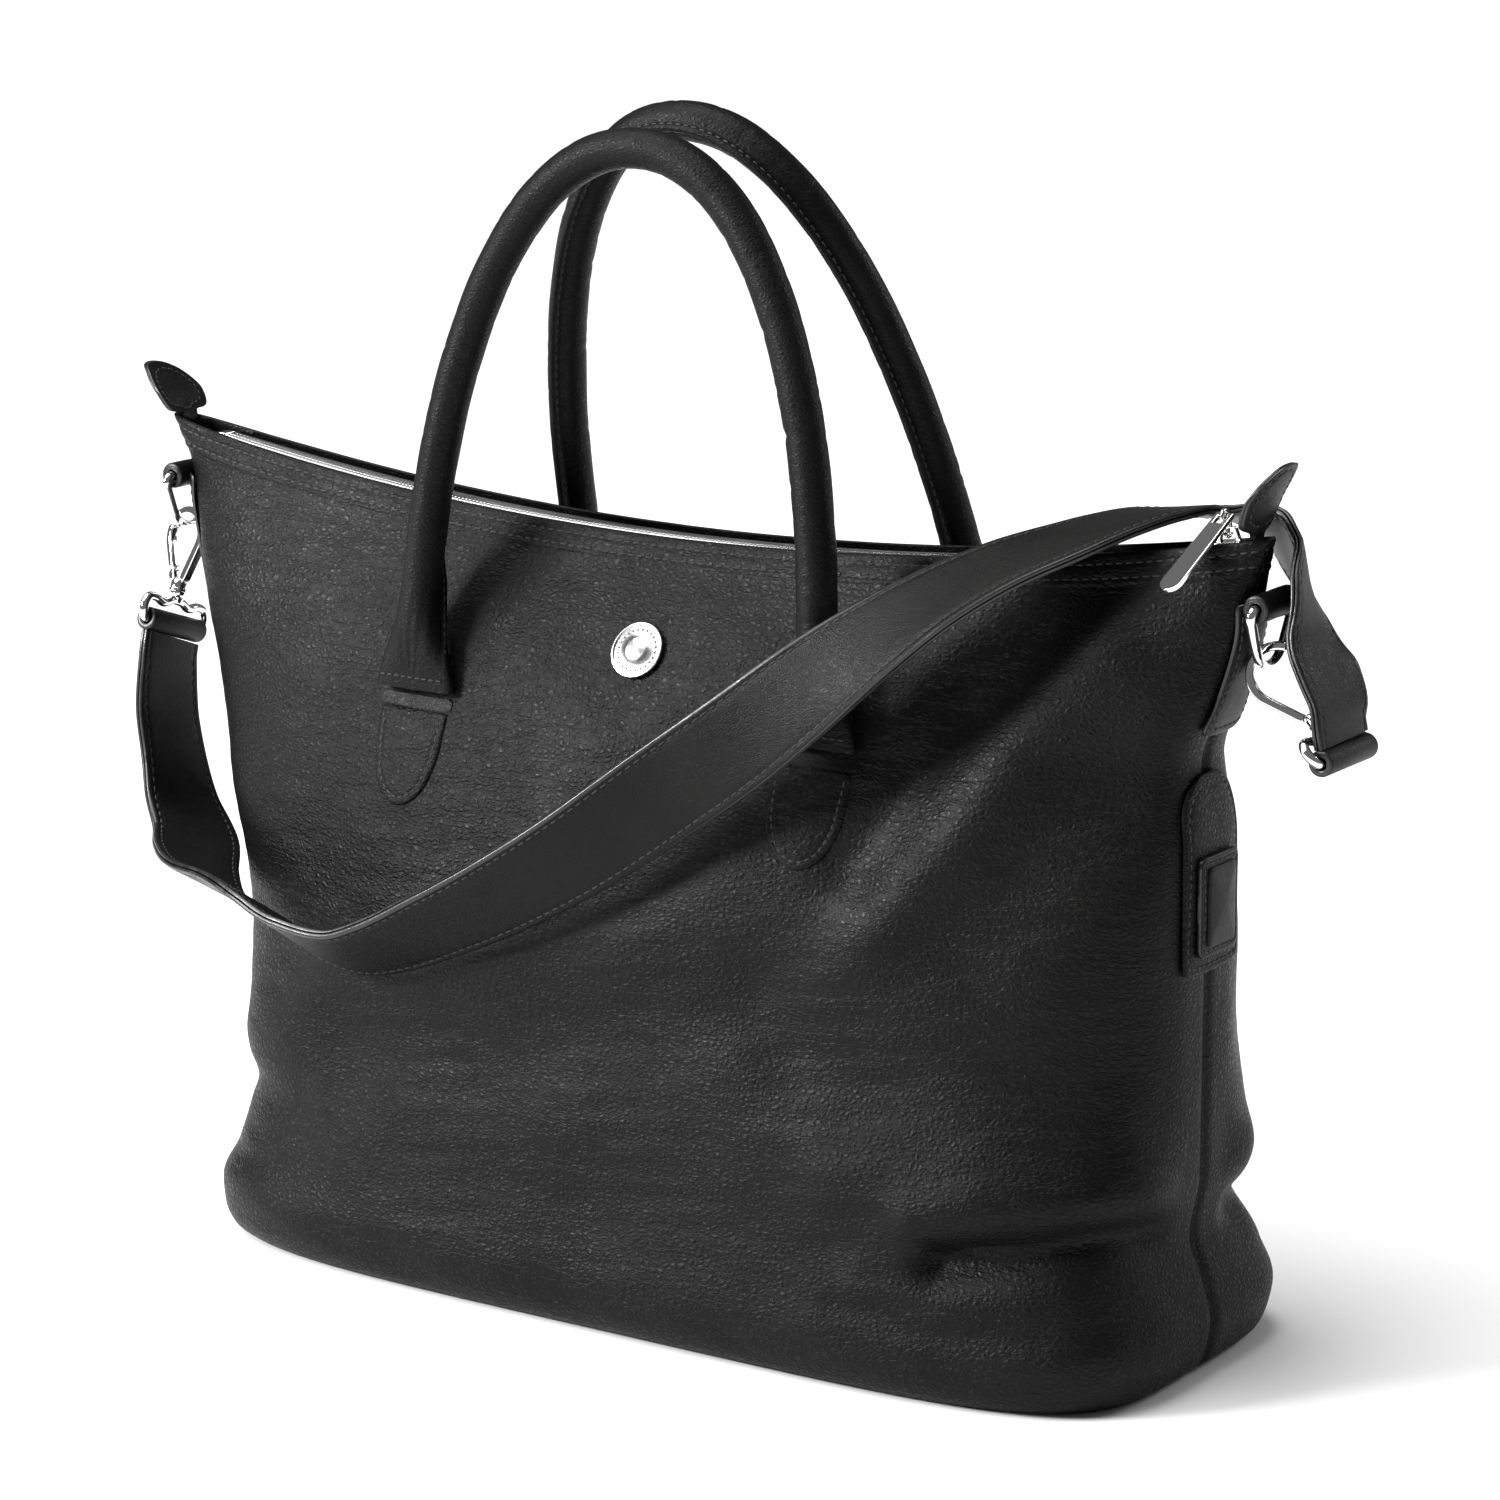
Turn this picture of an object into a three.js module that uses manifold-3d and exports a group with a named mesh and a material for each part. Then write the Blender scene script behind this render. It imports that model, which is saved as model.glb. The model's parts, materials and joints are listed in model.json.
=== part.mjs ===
// A zip-top travel tote in pebbled leather: rolled handles, a clip-on shoulder strap and
// chromed fittings.  Millimetres, +Z up, X along the bag, -Y towards its front.
// The origin is the middle of the base, on the surface that the bag stands on.
import * as THREE from "three";
import { mergeVertices } from "three/addons/utils/BufferGeometryUtils.js";
import Module from "manifold-3d";

// ---------------------------------------------------------------- driving dimensions
const GAP = 0.3; // clearance between pieces that touch
const LEATHER = 2.2; // thickness of the shell leather
const LINING = 1.2; // thickness of the lining cloth
const LINING_SPACE = 6; // between the shell and the loose lining
const TOP = 329; // height of the mouth's two ends
const LIP_SAG = 25; // how far the mouth's middle hangs below its ends
// The shell's plan outline at each height: left end, right end, half depth, squareness.
const LEVELS = [
  { h: 0.6, left: -214, right: 214, depth: 89, power: 4.6 },
  { h: 4, left: -218, right: 218, depth: 93, power: 4.5 },
  { h: 11, left: -221, right: 221, depth: 96, power: 4.4 },
  { h: 22, left: -222, right: 223, depth: 97, power: 4.3 },
  { h: 38, left: -216, right: 219, depth: 94, power: 4 },
  { h: 55, left: -212, right: 213, depth: 91, power: 4 },
  { h: 80, left: -214, right: 217, depth: 89, power: 3.6 },
  { h: 120, left: -219, right: 217, depth: 84, power: 3.3 },
  { h: 165, left: -228, right: 217, depth: 76, power: 3.2 },
  { h: 210, left: -240, right: 217, depth: 65, power: 3.2 },
  { h: 240, left: -249, right: 214, depth: 55, power: 3.2 },
  { h: 265, left: -257, right: 223, depth: 45, power: 3.2 },
  { h: 290, left: -264, right: 231, depth: 33, power: 3.2 },
  { h: 310, left: -270, right: 236, depth: 22, power: 3.2 },
  { h: TOP, left: -281, right: 240, depth: 13, power: 3.2 },
];
const MOUTH_MIDDLE = (LEVELS.at(-1).left + LEVELS.at(-1).right) / 2;
const MOUTH_HALF = (LEVELS.at(-1).right - LEVELS.at(-1).left) / 2;

const BASE_THICK = 2.6; // the sole leather
const BOARD_THICK = 2; // the stiff board that keeps the base flat
const HANDLE_SPAN = 95; // from the handle's middle to each of its feet
const FOOT_HEIGHT = 238; // where the feet enter the shell
const FOOT_TALL = 36; // the flared part of a foot
const HANDLE_RADIUS = 8;
const CORE_RADIUS = 4.6;
// Each handle: its side, the middle of its feet, its rise from the feet to the top of its
// middle line, and how far it leans over the mouth and drifts sideways per mm of height.
const HANDLES = {
  front: { sign: -1, middle: -20.5, rise: 221, lean: 0.1, drift: 0 },
  back: { sign: 1, middle: -5, rise: 227, lean: 0.18, drift: -0.11 },
};
const MEDALLION_RADIUS = 11.6;
const MEDALLION_HEIGHT = 263;
const MEDALLION_X = -17;

const ZIP_DROP = 3; // the tape lies this far below the lip
const TEETH_REACH = 3.4; // from the zip's middle line to the outside of its teeth
const TEETH_GAP = 0.8; // from the middle line to each row of teeth
const TEETH_TALL = 2.6;
const ZIP_LEFT = -232; // ends of the teeth, from the middle of the mouth
const ZIP_RIGHT = 250;
const SLIDER_AT = 243; // where the closed slider stands, from the middle of the mouth

const STRAP_WIDTH = 38;
const STRAP_PLY = 1.8; // each of the strap's two layers
const RING_WIRE = 2; // radius of the ring's wire
const ROLL_HEIGHT = 304; // axis of the leather roll that holds a ring
const RING_DROP = 23; // from the roll's axis to the middle of the wire at the ring's foot
const RING_LEAN = { left: -0.08, right: -0.03 }; // how far each ring leans, towards +X
const HOOK_THICK = 4.4;

const BLACK = { color: 0x1a1a1a, roughness: 0.55, metalness: 0 };
const CLOTH = { color: 0x24211f, roughness: 0.9, metalness: 0 };
const CHROME = { color: 0xd8dade, roughness: 0.12, metalness: 1 };
const NICKEL = { color: 0xb4b4b2, roughness: 0.32, metalness: 1 };
const TAPE = { color: 0x121212, roughness: 0.85, metalness: 0 };
const BOARD = { color: 0x6a5a48, roughness: 0.9, metalness: 0 };
const CORE = { color: 0x8c8478, roughness: 0.9, metalness: 0 };

const bag = new THREE.Group();
const wasm = await Module();
wasm.setup();

// ---------------------------------------------------------------- general helpers
const V = (x, y, z) => new THREE.Vector3(x, y, z);

function add(name, geometry, finish) {
  const mesh = new THREE.Mesh(geometry, new THREE.MeshStandardMaterial(finish));
  mesh.name = name;
  bag.add(mesh);
  return mesh;
}

// A closed mesh from points and triangles, turned so that its faces point out.
function closed(points, triangles) {
  let volume = 0;
  for (const [a, b, c] of triangles) {
    volume += points[a].dot(points[b].clone().cross(points[c]));
  }
  const order = volume > 0 ? [0, 1, 2] : [0, 2, 1];
  const geometry = new THREE.BufferGeometry();
  const numbers = points.flatMap((p) => [p.x, p.y, p.z]);
  geometry.setAttribute("position", new THREE.Float32BufferAttribute(numbers, 3));
  geometry.setIndex(triangles.flatMap((t) => order.map((k) => t[k])));
  return geometry;
}

// A skin between two grids of points with the same rows and columns.
function gridSolid(outer, inner) {
  const rows = outer.length;
  const columns = outer[0].length;
  const points = [...outer.flat(), ...inner.flat()];
  const at = (side, i, j) => side * rows * columns + i * columns + j;
  const triangles = [];
  const quad = (a, b, c, d) => triangles.push([a, b, c], [a, c, d]);
  for (let i = 0; i < rows - 1; i++) {
    for (let j = 0; j < columns - 1; j++) {
      quad(at(0, i, j), at(0, i, j + 1), at(0, i + 1, j + 1), at(0, i + 1, j));
      quad(at(1, i, j), at(1, i + 1, j), at(1, i + 1, j + 1), at(1, i, j + 1));
    }
  }
  for (let j = 0; j < columns - 1; j++) {
    quad(at(0, 0, j), at(1, 0, j), at(1, 0, j + 1), at(0, 0, j + 1));
    quad(at(0, rows - 1, j), at(0, rows - 1, j + 1), at(1, rows - 1, j + 1), at(1, rows - 1, j));
  }
  for (let i = 0; i < rows - 1; i++) {
    quad(at(0, i, 0), at(0, i + 1, 0), at(1, i + 1, 0), at(1, i, 0));
    quad(at(0, i, columns - 1), at(1, i, columns - 1), at(1, i + 1, columns - 1), at(0, i + 1, columns - 1));
  }
  return closed(points, triangles);
}

// A solid through rings of points: capped at both ends, or joined end to end.
function loft(rings, endless = false) {
  const n = rings[0].length;
  const points = rings.flat();
  const triangles = [];
  const spans = endless ? rings.length : rings.length - 1;
  for (let i = 0; i < spans; i++) {
    const next = (i + 1) % rings.length;
    for (let j = 0; j < n; j++) {
      const k = (j + 1) % n;
      triangles.push([i * n + j, i * n + k, next * n + k], [i * n + j, next * n + k, next * n + j]);
    }
  }
  if (!endless) {
    const last = (rings.length - 1) * n;
    for (let j = 1; j < n - 1; j++) {
      triangles.push([0, j + 1, j], [last, last + j, last + j + 1]);
    }
  }
  return closed(points, triangles);
}

// A round wire bent into a closed flat ring; across is the normal of its plane.
function wireLoop(path, across, radius, sides = 8) {
  const rings = path.map((p, i) => {
    const before = path[(i + path.length - 1) % path.length];
    const after = path[(i + 1) % path.length];
    const out = after.clone().sub(before).normalize().cross(across);
    return roundRing(p, out, across, radius, radius, sides);
  });
  return loft(rings, true);
}

function roundRing(centre, u, v, ru, rv, sides, power = 2) {
  return Array.from({ length: sides }, (_, k) => {
    const a = (2 * Math.PI * (k + 0.5)) / sides;
    const reach = (Math.abs(Math.cos(a)) ** power + Math.abs(Math.sin(a)) ** power) ** (-1 / power);
    return centre
      .clone()
      .addScaledVector(u, ru * reach * Math.cos(a))
      .addScaledVector(v, rv * reach * Math.sin(a));
  });
}

function solid(geometry) {
  const bare = geometry.clone();
  bare.deleteAttribute("normal");
  bare.deleteAttribute("uv");
  const merged = mergeVertices(bare, 1e-4);
  return new wasm.Manifold(
    new wasm.Mesh({
      numProp: 3,
      vertProperties: new Float32Array(merged.attributes.position.array),
      triVerts: new Uint32Array(merged.index.array),
    }),
  );
}

function geometryOf(manifold) {
  const mesh = manifold.getMesh();
  const geometry = new THREE.BufferGeometry();
  geometry.setAttribute("position", new THREE.BufferAttribute(mesh.vertProperties, 3));
  geometry.setIndex(new THREE.BufferAttribute(mesh.triVerts, 1));
  return geometry;
}

// A flat outline given a thickness, centred on its own plane.
function plate(shape, thick, segments = 8) {
  const options = { depth: thick, bevelEnabled: false, curveSegments: segments };
  return new THREE.ExtrudeGeometry(shape, options).translate(0, 0, -thick / 2);
}

// A box from its size and middle.
function block(size, middle) {
  return new THREE.BoxGeometry(...size).translate(...middle);
}

// A round bar between two points.
function bar(from, to, radius, sides = 12) {
  const along = to.clone().sub(from);
  const geometry = new THREE.CylinderGeometry(radius, radius, along.length(), sides);
  geometry.applyQuaternion(new THREE.Quaternion().setFromUnitVectors(V(0, 1, 0), along.clone().normalize()));
  const middle = from.clone().add(to).multiplyScalar(0.5);
  return geometry.translate(middle.x, middle.y, middle.z);
}

// ---------------------------------------------------------------- the shell's surface
function level(h) {
  const i = Math.max(1, LEVELS.findIndex((l) => l.h >= h - 1e-6));
  const [low, high] = [LEVELS[i - 1], LEVELS[i]];
  const t = (h - low.h) / (high.h - low.h);
  const mix = (key) => low[key] + t * (high[key] - low[key]);
  return { left: mix("left"), right: mix("right"), depth: mix("depth"), power: mix("power") };
}

// A point of the shell at level h, turned by the angle phi from its right end, inset by
// some thickness.  sign is -1 on the front half and +1 on the back half.
function shellPoint(h, phi, sign, inset) {
  const l = level(h);
  const c = Math.cos(phi);
  const s = Math.sin(phi);
  const reach = (Math.abs(c) ** l.power + Math.abs(s) ** l.power) ** (-1 / l.power);
  const half = (l.right - l.left) / 2 - inset;
  const u = c * reach;
  const z = h - LIP_SAG * (1 - u * u) * (h / TOP) ** 3;
  return V((l.left + l.right) / 2 + half * u, sign * (GAP / 2 + (l.depth - inset) * s * reach), z);
}

// Depth of the shell's outside at x and z, measured from the seam's plane.
function shellDepth(x, z) {
  let h = z;
  let u = 0;
  for (let k = 0; k < 20; k++) {
    const l = level(h);
    u = Math.min(1, Math.abs(x - (l.left + l.right) / 2) / ((l.right - l.left) / 2));
    h = Math.min(TOP, z + LIP_SAG * (1 - u * u) * (h / TOP) ** 3);
  }
  const l = level(h);
  return GAP / 2 + l.depth * (1 - u ** l.power) ** (1 / l.power);
}

// Distance of the shell's end from the middle plane, at a height and a depth.
function shellEnd(side, z, y) {
  let h = z;
  let u = 1;
  for (let k = 0; k < 8; k++) {
    const l = level(h);
    u = (1 - Math.min(1, Math.abs(y) / l.depth) ** l.power) ** (1 / l.power);
    h = Math.min(TOP, z + LIP_SAG * (1 - u * u) * (h / TOP) ** 3);
  }
  const l = level(h);
  return (l.left + l.right) / 2 + (side * u * (l.right - l.left)) / 2;
}

function halfShell(sign, heights, inset, thick, columns) {
  const angles = Array.from({ length: columns + 1 }, (_, j) => (Math.PI * j) / columns);
  const grid = (extra) => heights.map((h) => angles.map((phi) => shellPoint(h, phi, sign, inset + extra)));
  return gridSolid(grid(0), grid(thick));
}

function planShape(inset) {
  const l = LEVELS[1];
  const points = Array.from({ length: 32 }, (_, k) => {
    const a = (2 * Math.PI * k) / 32;
    const [c, s] = [Math.cos(a), Math.sin(a)];
    const reach = (Math.abs(c) ** l.power + Math.abs(s) ** l.power) ** (-1 / l.power);
    return new THREE.Vector2((l.right - inset) * reach * c, (l.depth - inset) * reach * s);
  });
  return new THREE.Shape(points);
}

// ---------------------------------------------------------------- shell, base and lining
function buildShell() {
  const heights = LEVELS.map((l) => l.h);
  const back = halfShell(1, heights, 0, LEATHER, 20);
  const front = halfShell(-1, heights, 0, LEATHER, 20);
  const { place, normal } = medallionSeat();
  const hole = bar(place.clone().addScaledVector(normal, -9), place.clone().addScaledVector(normal, 9), 2.4);
  add("front_panel", geometryOf(solid(front).subtract(solid(hole))), BLACK);
  add("back_panel", back, BLACK);

  const slab = (inset, low, thick) => plate(planShape(inset), thick).translate(0, 0, low + thick / 2);
  add("base_panel", slab(12, 0, BASE_THICK), BLACK);
  add("base_board", slab(16, BASE_THICK + GAP, BOARD_THICK), BOARD);
  add("base_lining", slab(20, BASE_THICK + BOARD_THICK + 2 * GAP, LINING), CLOTH);

  const liningHeights = [11, 55, 120, 165, 240, 290, 319];
  const inset = LEATHER + LINING_SPACE;
  add("front_lining", halfShell(-1, liningHeights, inset, LINING, 14), CLOTH);
  add("back_lining", halfShell(1, liningHeights, inset, LINING, 14), CLOTH);
}

// ---------------------------------------------------------------- zip
const ZIP_RADIUS = (MOUTH_HALF ** 2 + LIP_SAG ** 2) / (2 * LIP_SAG); // of the mouth's arc

function lipHeight(fromMiddle) {
  return TOP - LIP_SAG + ZIP_RADIUS - Math.sqrt(ZIP_RADIUS ** 2 - fromMiddle ** 2);
}

// A strip along the mouth's arc: yNear and yFar are functions of the place along it.
function zipStrip(start, end, steps, yNear, yFar, low, high) {
  const rings = Array.from({ length: steps + 1 }, (_, i) => {
    const s = start + ((end - start) * i) / steps;
    const z = lipHeight(s) - ZIP_DROP;
    const x = MOUTH_MIDDLE + s;
    const corner = (y, rise) => V(x, y(s), z + rise);
    return [corner(yNear, low), corner(yFar, low), corner(yFar, high), corner(yNear, high)];
  });
  return loft(rings);
}

function buildZip() {
  const inner = (s) => {
    const l = LEVELS.at(-2);
    const u = Math.min(1, Math.abs(s) / (MOUTH_HALF - LEATHER - 4));
    return (LEVELS.at(-1).depth - LEATHER - 0.6) * (1 - u ** l.power) ** (1 / l.power);
  };
  for (const [name, sign] of [["front", -1], ["back", 1]]) {
    const near = () => sign * (TEETH_REACH + GAP);
    const far = (s) => sign * Math.max(TEETH_REACH + GAP + 0.6, inner(s));
    add(`zip_tape_${name}`, zipStrip(ZIP_LEFT - 6, ZIP_RIGHT, 20, near, far, -0.4, 0.4), TAPE);
    const low = -TEETH_TALL / 2;
    const teeth = zipStrip(
      ZIP_LEFT, ZIP_RIGHT - 3, 20, () => sign * TEETH_GAP, () => sign * TEETH_REACH, low, -low,
    );
    add(`zip_teeth_${name}`, teeth, NICKEL);
  }
  const stopZ = lipHeight(ZIP_LEFT) - ZIP_DROP;
  add("zip_stop", block([5, 7, 4], [MOUTH_MIDDLE + ZIP_LEFT - GAP - 2.5, 0, stopZ]), NICKEL);
  buildSlider();
}

// The slider straddles the teeth on a thin post, with an arch on top for the link.
function buildSlider() {
  const group = new THREE.Group();
  const angle = Math.asin(SLIDER_AT / ZIP_RADIUS);
  group.position.set(MOUTH_MIDDLE + SLIDER_AT, 0, lipHeight(SLIDER_AT) - ZIP_DROP);
  group.rotation.y = -angle;
  bag.add(group);

  const clear = TEETH_TALL / 2 + 0.35;
  const plateThick = 1.6;
  const archHeight = clear + plateThick + 4.2; // middle of the arch's top bar
  const cover = block([13, 9.4, plateThick], [0, 0, clear + plateThick / 2]);
  const under = block([13, 9.4, plateThick], [0, 0, -clear - plateThick / 2]);
  const post = block([4, 1, 2 * clear + 1], [0, 0, 0]);
  const arch = plate(archShape(5, 4.2, 1.1), 2.2);
  arch.rotateX(Math.PI / 2).translate(0, 0, clear + plateThick - 0.2);
  const parts = [cover, under, post, arch].map(solid);
  const slider = add("zip_slider", geometryOf(parts.reduce((a, b) => a.add(b))), CHROME);
  group.add(slider);

  // The link is a narrow loop that stands up through the arch.
  const linkWire = 0.9;
  const linkHalf = 5.2; // half its length, to the middle of the wire
  const linkRound = 2.6; // radius of its ends
  const lean = 0.15;
  const up = V(0, -Math.sin(lean), Math.cos(lean));
  const across = V(1, 0, 0);
  const wide = up.clone().cross(across);
  const foot = V(0, 0, archHeight - 1.9 - linkWire + linkRound);
  const middle = foot.clone().addScaledVector(up, linkHalf - linkRound);
  const path = stadium(middle, up, wide, linkHalf, linkRound, 5);
  group.add(add("zip_pull_link", wireLoop(path, across, linkWire, 6), CHROME));

  // The pull is a long flat bar, hung by its eye on the top of the link.
  const eye = middle.clone().addScaledVector(up, linkHalf - linkWire - 1.4);
  const pull = geometryOf(solid(pullGeometry()));
  const rest = new THREE.Matrix4().makeRotationY(0.26);
  rest.premultiply(new THREE.Matrix4().makeRotationX(-0.98));
  rest.setPosition(eye);
  group.add(add("zip_pull", pull.applyMatrix4(rest), CHROME));
}

// A flat bar in its own XZ plane: the strip above its eye is at the origin, and it hangs down.
function pullGeometry() {
  const length = 41;
  const narrow = 4; // half width at the eye
  const wideEnd = 4.8; // half width at the free end
  const shape = new THREE.Shape();
  shape.moveTo(-narrow, 1);
  shape.lineTo(narrow, 1);
  shape.lineTo(wideEnd, -length + wideEnd);
  shape.absarc(0, -length + wideEnd, wideEnd, 0, -Math.PI, true);
  shape.closePath();
  const eye = new THREE.Path();
  eye.moveTo(-2.2, -1);
  eye.lineTo(-2.2, -4.6);
  eye.lineTo(2.2, -4.6);
  eye.lineTo(2.2, -1);
  shape.holes.push(eye);
  return plate(shape, 1.8, 6).rotateX(Math.PI / 2);
}

function archShape(halfLength, tall, thick) {
  const shape = new THREE.Shape();
  shape.moveTo(-halfLength, 0);
  shape.lineTo(-halfLength + 1.2, tall + thick);
  shape.lineTo(halfLength - 1.2, tall + thick);
  shape.lineTo(halfLength, 0);
  shape.lineTo(halfLength - thick * 1.4, 0);
  shape.lineTo(halfLength - 1.2 - thick * 1.4, tall - thick);
  shape.lineTo(-halfLength + 1.2 + thick * 1.4, tall - thick);
  shape.lineTo(-halfLength + thick * 1.4, 0);
  shape.closePath();
  return shape;
}

// Points round a narrow loop with half-round ends.
function stadium(middle, along, wide, half, round, arcSteps) {
  const points = [];
  for (const end of [1, -1]) {
    for (let k = 0; k <= arcSteps; k++) {
      const a = (Math.PI * k) / arcSteps;
      points.push(
        middle
          .clone()
          .addScaledVector(along, end * (half - round + round * Math.sin(a)))
          .addScaledVector(wide, end * round * Math.cos(a)),
      );
    }
  }
  return points;
}

// ---------------------------------------------------------------- handles
// The handle's middle line: an arch over the feet, leaning towards the mouth.
function handlePoint(handle, t) {
  const c = Math.cos(t);
  const s = Math.sin(t);
  const z = handle.rise * Math.abs(s) ** (2 / 2.3);
  const x = handle.middle + HANDLE_SPAN * Math.sign(c) * Math.abs(c) ** (2 / 2.1);
  const depth = shellDepth(handle.middle + HANDLE_SPAN, FOOT_HEIGHT) + 3.4;
  return V(x + handle.drift * z, handle.sign * (depth - handle.lean * z), FOOT_HEIGHT + z);
}

// The angle at which the arch is a given height above its feet.
function archAngle(handle, z) {
  return Math.asin((z / handle.rise) ** (2.3 / 2));
}

// A rolled handle's section: a round with a thin stitched edge in the direction of turn.
function rolledShape(turn) {
  const fin = 0.16;
  const polar = (r, a) => new THREE.Vector2(r * Math.cos(turn + a), r * Math.sin(turn + a));
  const points = Array.from({ length: 9 }, (_, k) =>
    polar(HANDLE_RADIUS, fin + ((2 * Math.PI - 2 * fin) * k) / 8),
  );
  const edge = HANDLE_RADIUS + 4;
  const spread = (fin * HANDLE_RADIUS) / edge;
  points.push(polar(edge, -spread), polar(edge, spread));
  const shape = new THREE.Shape(points);
  const bore = Array.from({ length: 6 }, (_, k) => polar(CORE_RADIUS + 1.5, (Math.PI * k) / 3));
  shape.holes.push(new THREE.Path(bore));
  return shape;
}

function archCurve(handle, fromHeight) {
  const start = archAngle(handle, fromHeight);
  const count = 20;
  const points = Array.from({ length: count + 1 }, (_, i) =>
    handlePoint(handle, start + ((Math.PI - 2 * start) * i) / count),
  );
  return new THREE.CatmullRomCurve3(points);
}

function buildHandle(name, handle) {
  const sign = handle.sign;
  const cover = archCurve(handle, FOOT_TALL + GAP);
  const frames = cover.computeFrenetFrames(20, false);
  const turn = Math.atan2(-sign * frames.binormals[0].y, -sign * frames.normals[0].y);
  const options = { steps: 20, bevelEnabled: false, extrudePath: cover };
  add(`${name}_handle_cover`, new THREE.ExtrudeGeometry(rolledShape(turn), options), BLACK);

  const core = archCurve(handle, FOOT_TALL + 4);
  const round = new THREE.Shape();
  round.absarc(0, 0, CORE_RADIUS, 0, 2 * Math.PI);
  const coreOptions = { steps: 18, bevelEnabled: false, curveSegments: 3, extrudePath: core };
  add(`${name}_handle_core`, new THREE.ExtrudeGeometry(round, coreOptions), CORE);

  for (const [side, end] of [["left", -1], ["right", 1]]) {
    const angle = (z) => (end > 0 ? archAngle(handle, z) : Math.PI - archAngle(handle, z));
    const foot = [
      [1, 18.5, 2.5, 4],
      [7, 17.5, 3.4, 3.6],
      [16, 14, 5.6, 2.8],
      [26, 10.4, 7.4, 2.2],
      [FOOT_TALL, HANDLE_RADIUS, HANDLE_RADIUS, 2],
    ];
    const rings = foot.map(([z, wide, deep, power]) => {
      const along = handlePoint(handle, angle(z + 1)).sub(handlePoint(handle, angle(z - 1)));
      const v = along.clone().cross(V(1, 0, 0)).normalize();
      const u = v.clone().cross(along).normalize();
      return roundRing(handlePoint(handle, angle(z)), u, v, wide, deep, 12, power);
    });
    add(`${name}_${side}_handle_foot`, loft(rings), BLACK);
    const footX = handle.middle + end * HANDLE_SPAN;
    const slot = [[-6.5, 18], [-2, 18.5]];
    add(`${name}_${side}_slot_welt`, shellPatch(footX, sign, slot, 0.4, 2.4), BLACK);
    const shield = [[-44, 5], [-36, 12.5], [-24, 16.5], [-3, 17]];
    add(`${name}_${side}_handle_anchor`, shellPatch(footX, sign, shield, -LEATHER - 2.6, 1.6), BLACK);
  }
}

// A patch that follows the shell's front or back: rows give heights above the feet and
// half widths, and the offset is measured outwards from the shell's outside.
function shellPatch(middleX, sign, rows, offset, thick) {
  const grid = (out) =>
    rows.map(([dz, half]) =>
      [-1, -0.5, 0, 0.5, 1].map((k) => {
        const x = middleX + k * half;
        const z = FOOT_HEIGHT + dz;
        return V(x, sign * (shellDepth(x, z) + out), z);
      }),
    );
  return gridSolid(grid(offset + thick), grid(offset));
}

// ---------------------------------------------------------------- medallion
// Where the medallion's shank meets the leather, and the way the leather faces there.
function medallionSeat() {
  const depth = (rise) => shellDepth(MEDALLION_X, MEDALLION_HEIGHT + rise);
  const normal = V(0, -20, depth(-10) - depth(10)).normalize();
  return { place: V(MEDALLION_X, -depth(0), MEDALLION_HEIGHT), normal };
}

function buildMedallion() {
  const { place, normal } = medallionSeat();
  const r = MEDALLION_RADIUS;
  const profile = [[0, -5], [2, -5], [2, 0], [r, 0], [r, 0.9], [r - 1.2, 1.5], [6, 2.2], [0, 2.6]];
  const disc = new THREE.LatheGeometry(profile.map(([x, y]) => new THREE.Vector2(x, y)), 16);
  const piece = geometryOf(solid(disc));
  piece.applyQuaternion(new THREE.Quaternion().setFromUnitVectors(V(0, 1, 0), normal));
  const seat = place.addScaledVector(normal, 1);
  add("medallion", piece.translate(seat.x, seat.y, seat.z), NICKEL);
}

// ---------------------------------------------------------------- end fittings
// A leather patch that follows the shell's end: rows of height and half width.
function endPatch(side, rows, offset, thick, columns = 4) {
  const grid = (out) =>
    rows.map(([z, half]) =>
      Array.from({ length: columns + 1 }, (_, k) => {
        const y = half * ((2 * k) / columns - 1);
        return V(shellEnd(side, z, y) + side * out, y, z);
      }),
    );
  return gridSolid(grid(offset + thick), grid(offset));
}

const ROLL_RADIUS = 5.4;
const ROLL_HALF = 13.5;
const rollX = (side) => shellEnd(side, ROLL_HEIGHT, 0) + side * (ROLL_RADIUS + 0.4);

// The tabs at the mouth's ends: rows of height above it, reach outwards and half width.
const ZIP_TABS = {
  left: [[-3, 0, 3], [0.5, 0.5, 3.5], [2, 3, 13], [9, 8, 13.5], [17, 16, 9], [21, 22, 4]],
  right: [[-3, 0, 3], [0.5, 0.5, 3.5], [4, 1, 13], [14, 5, 13.5], [24, 11, 9], [29, 14, 4]],
};

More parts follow.
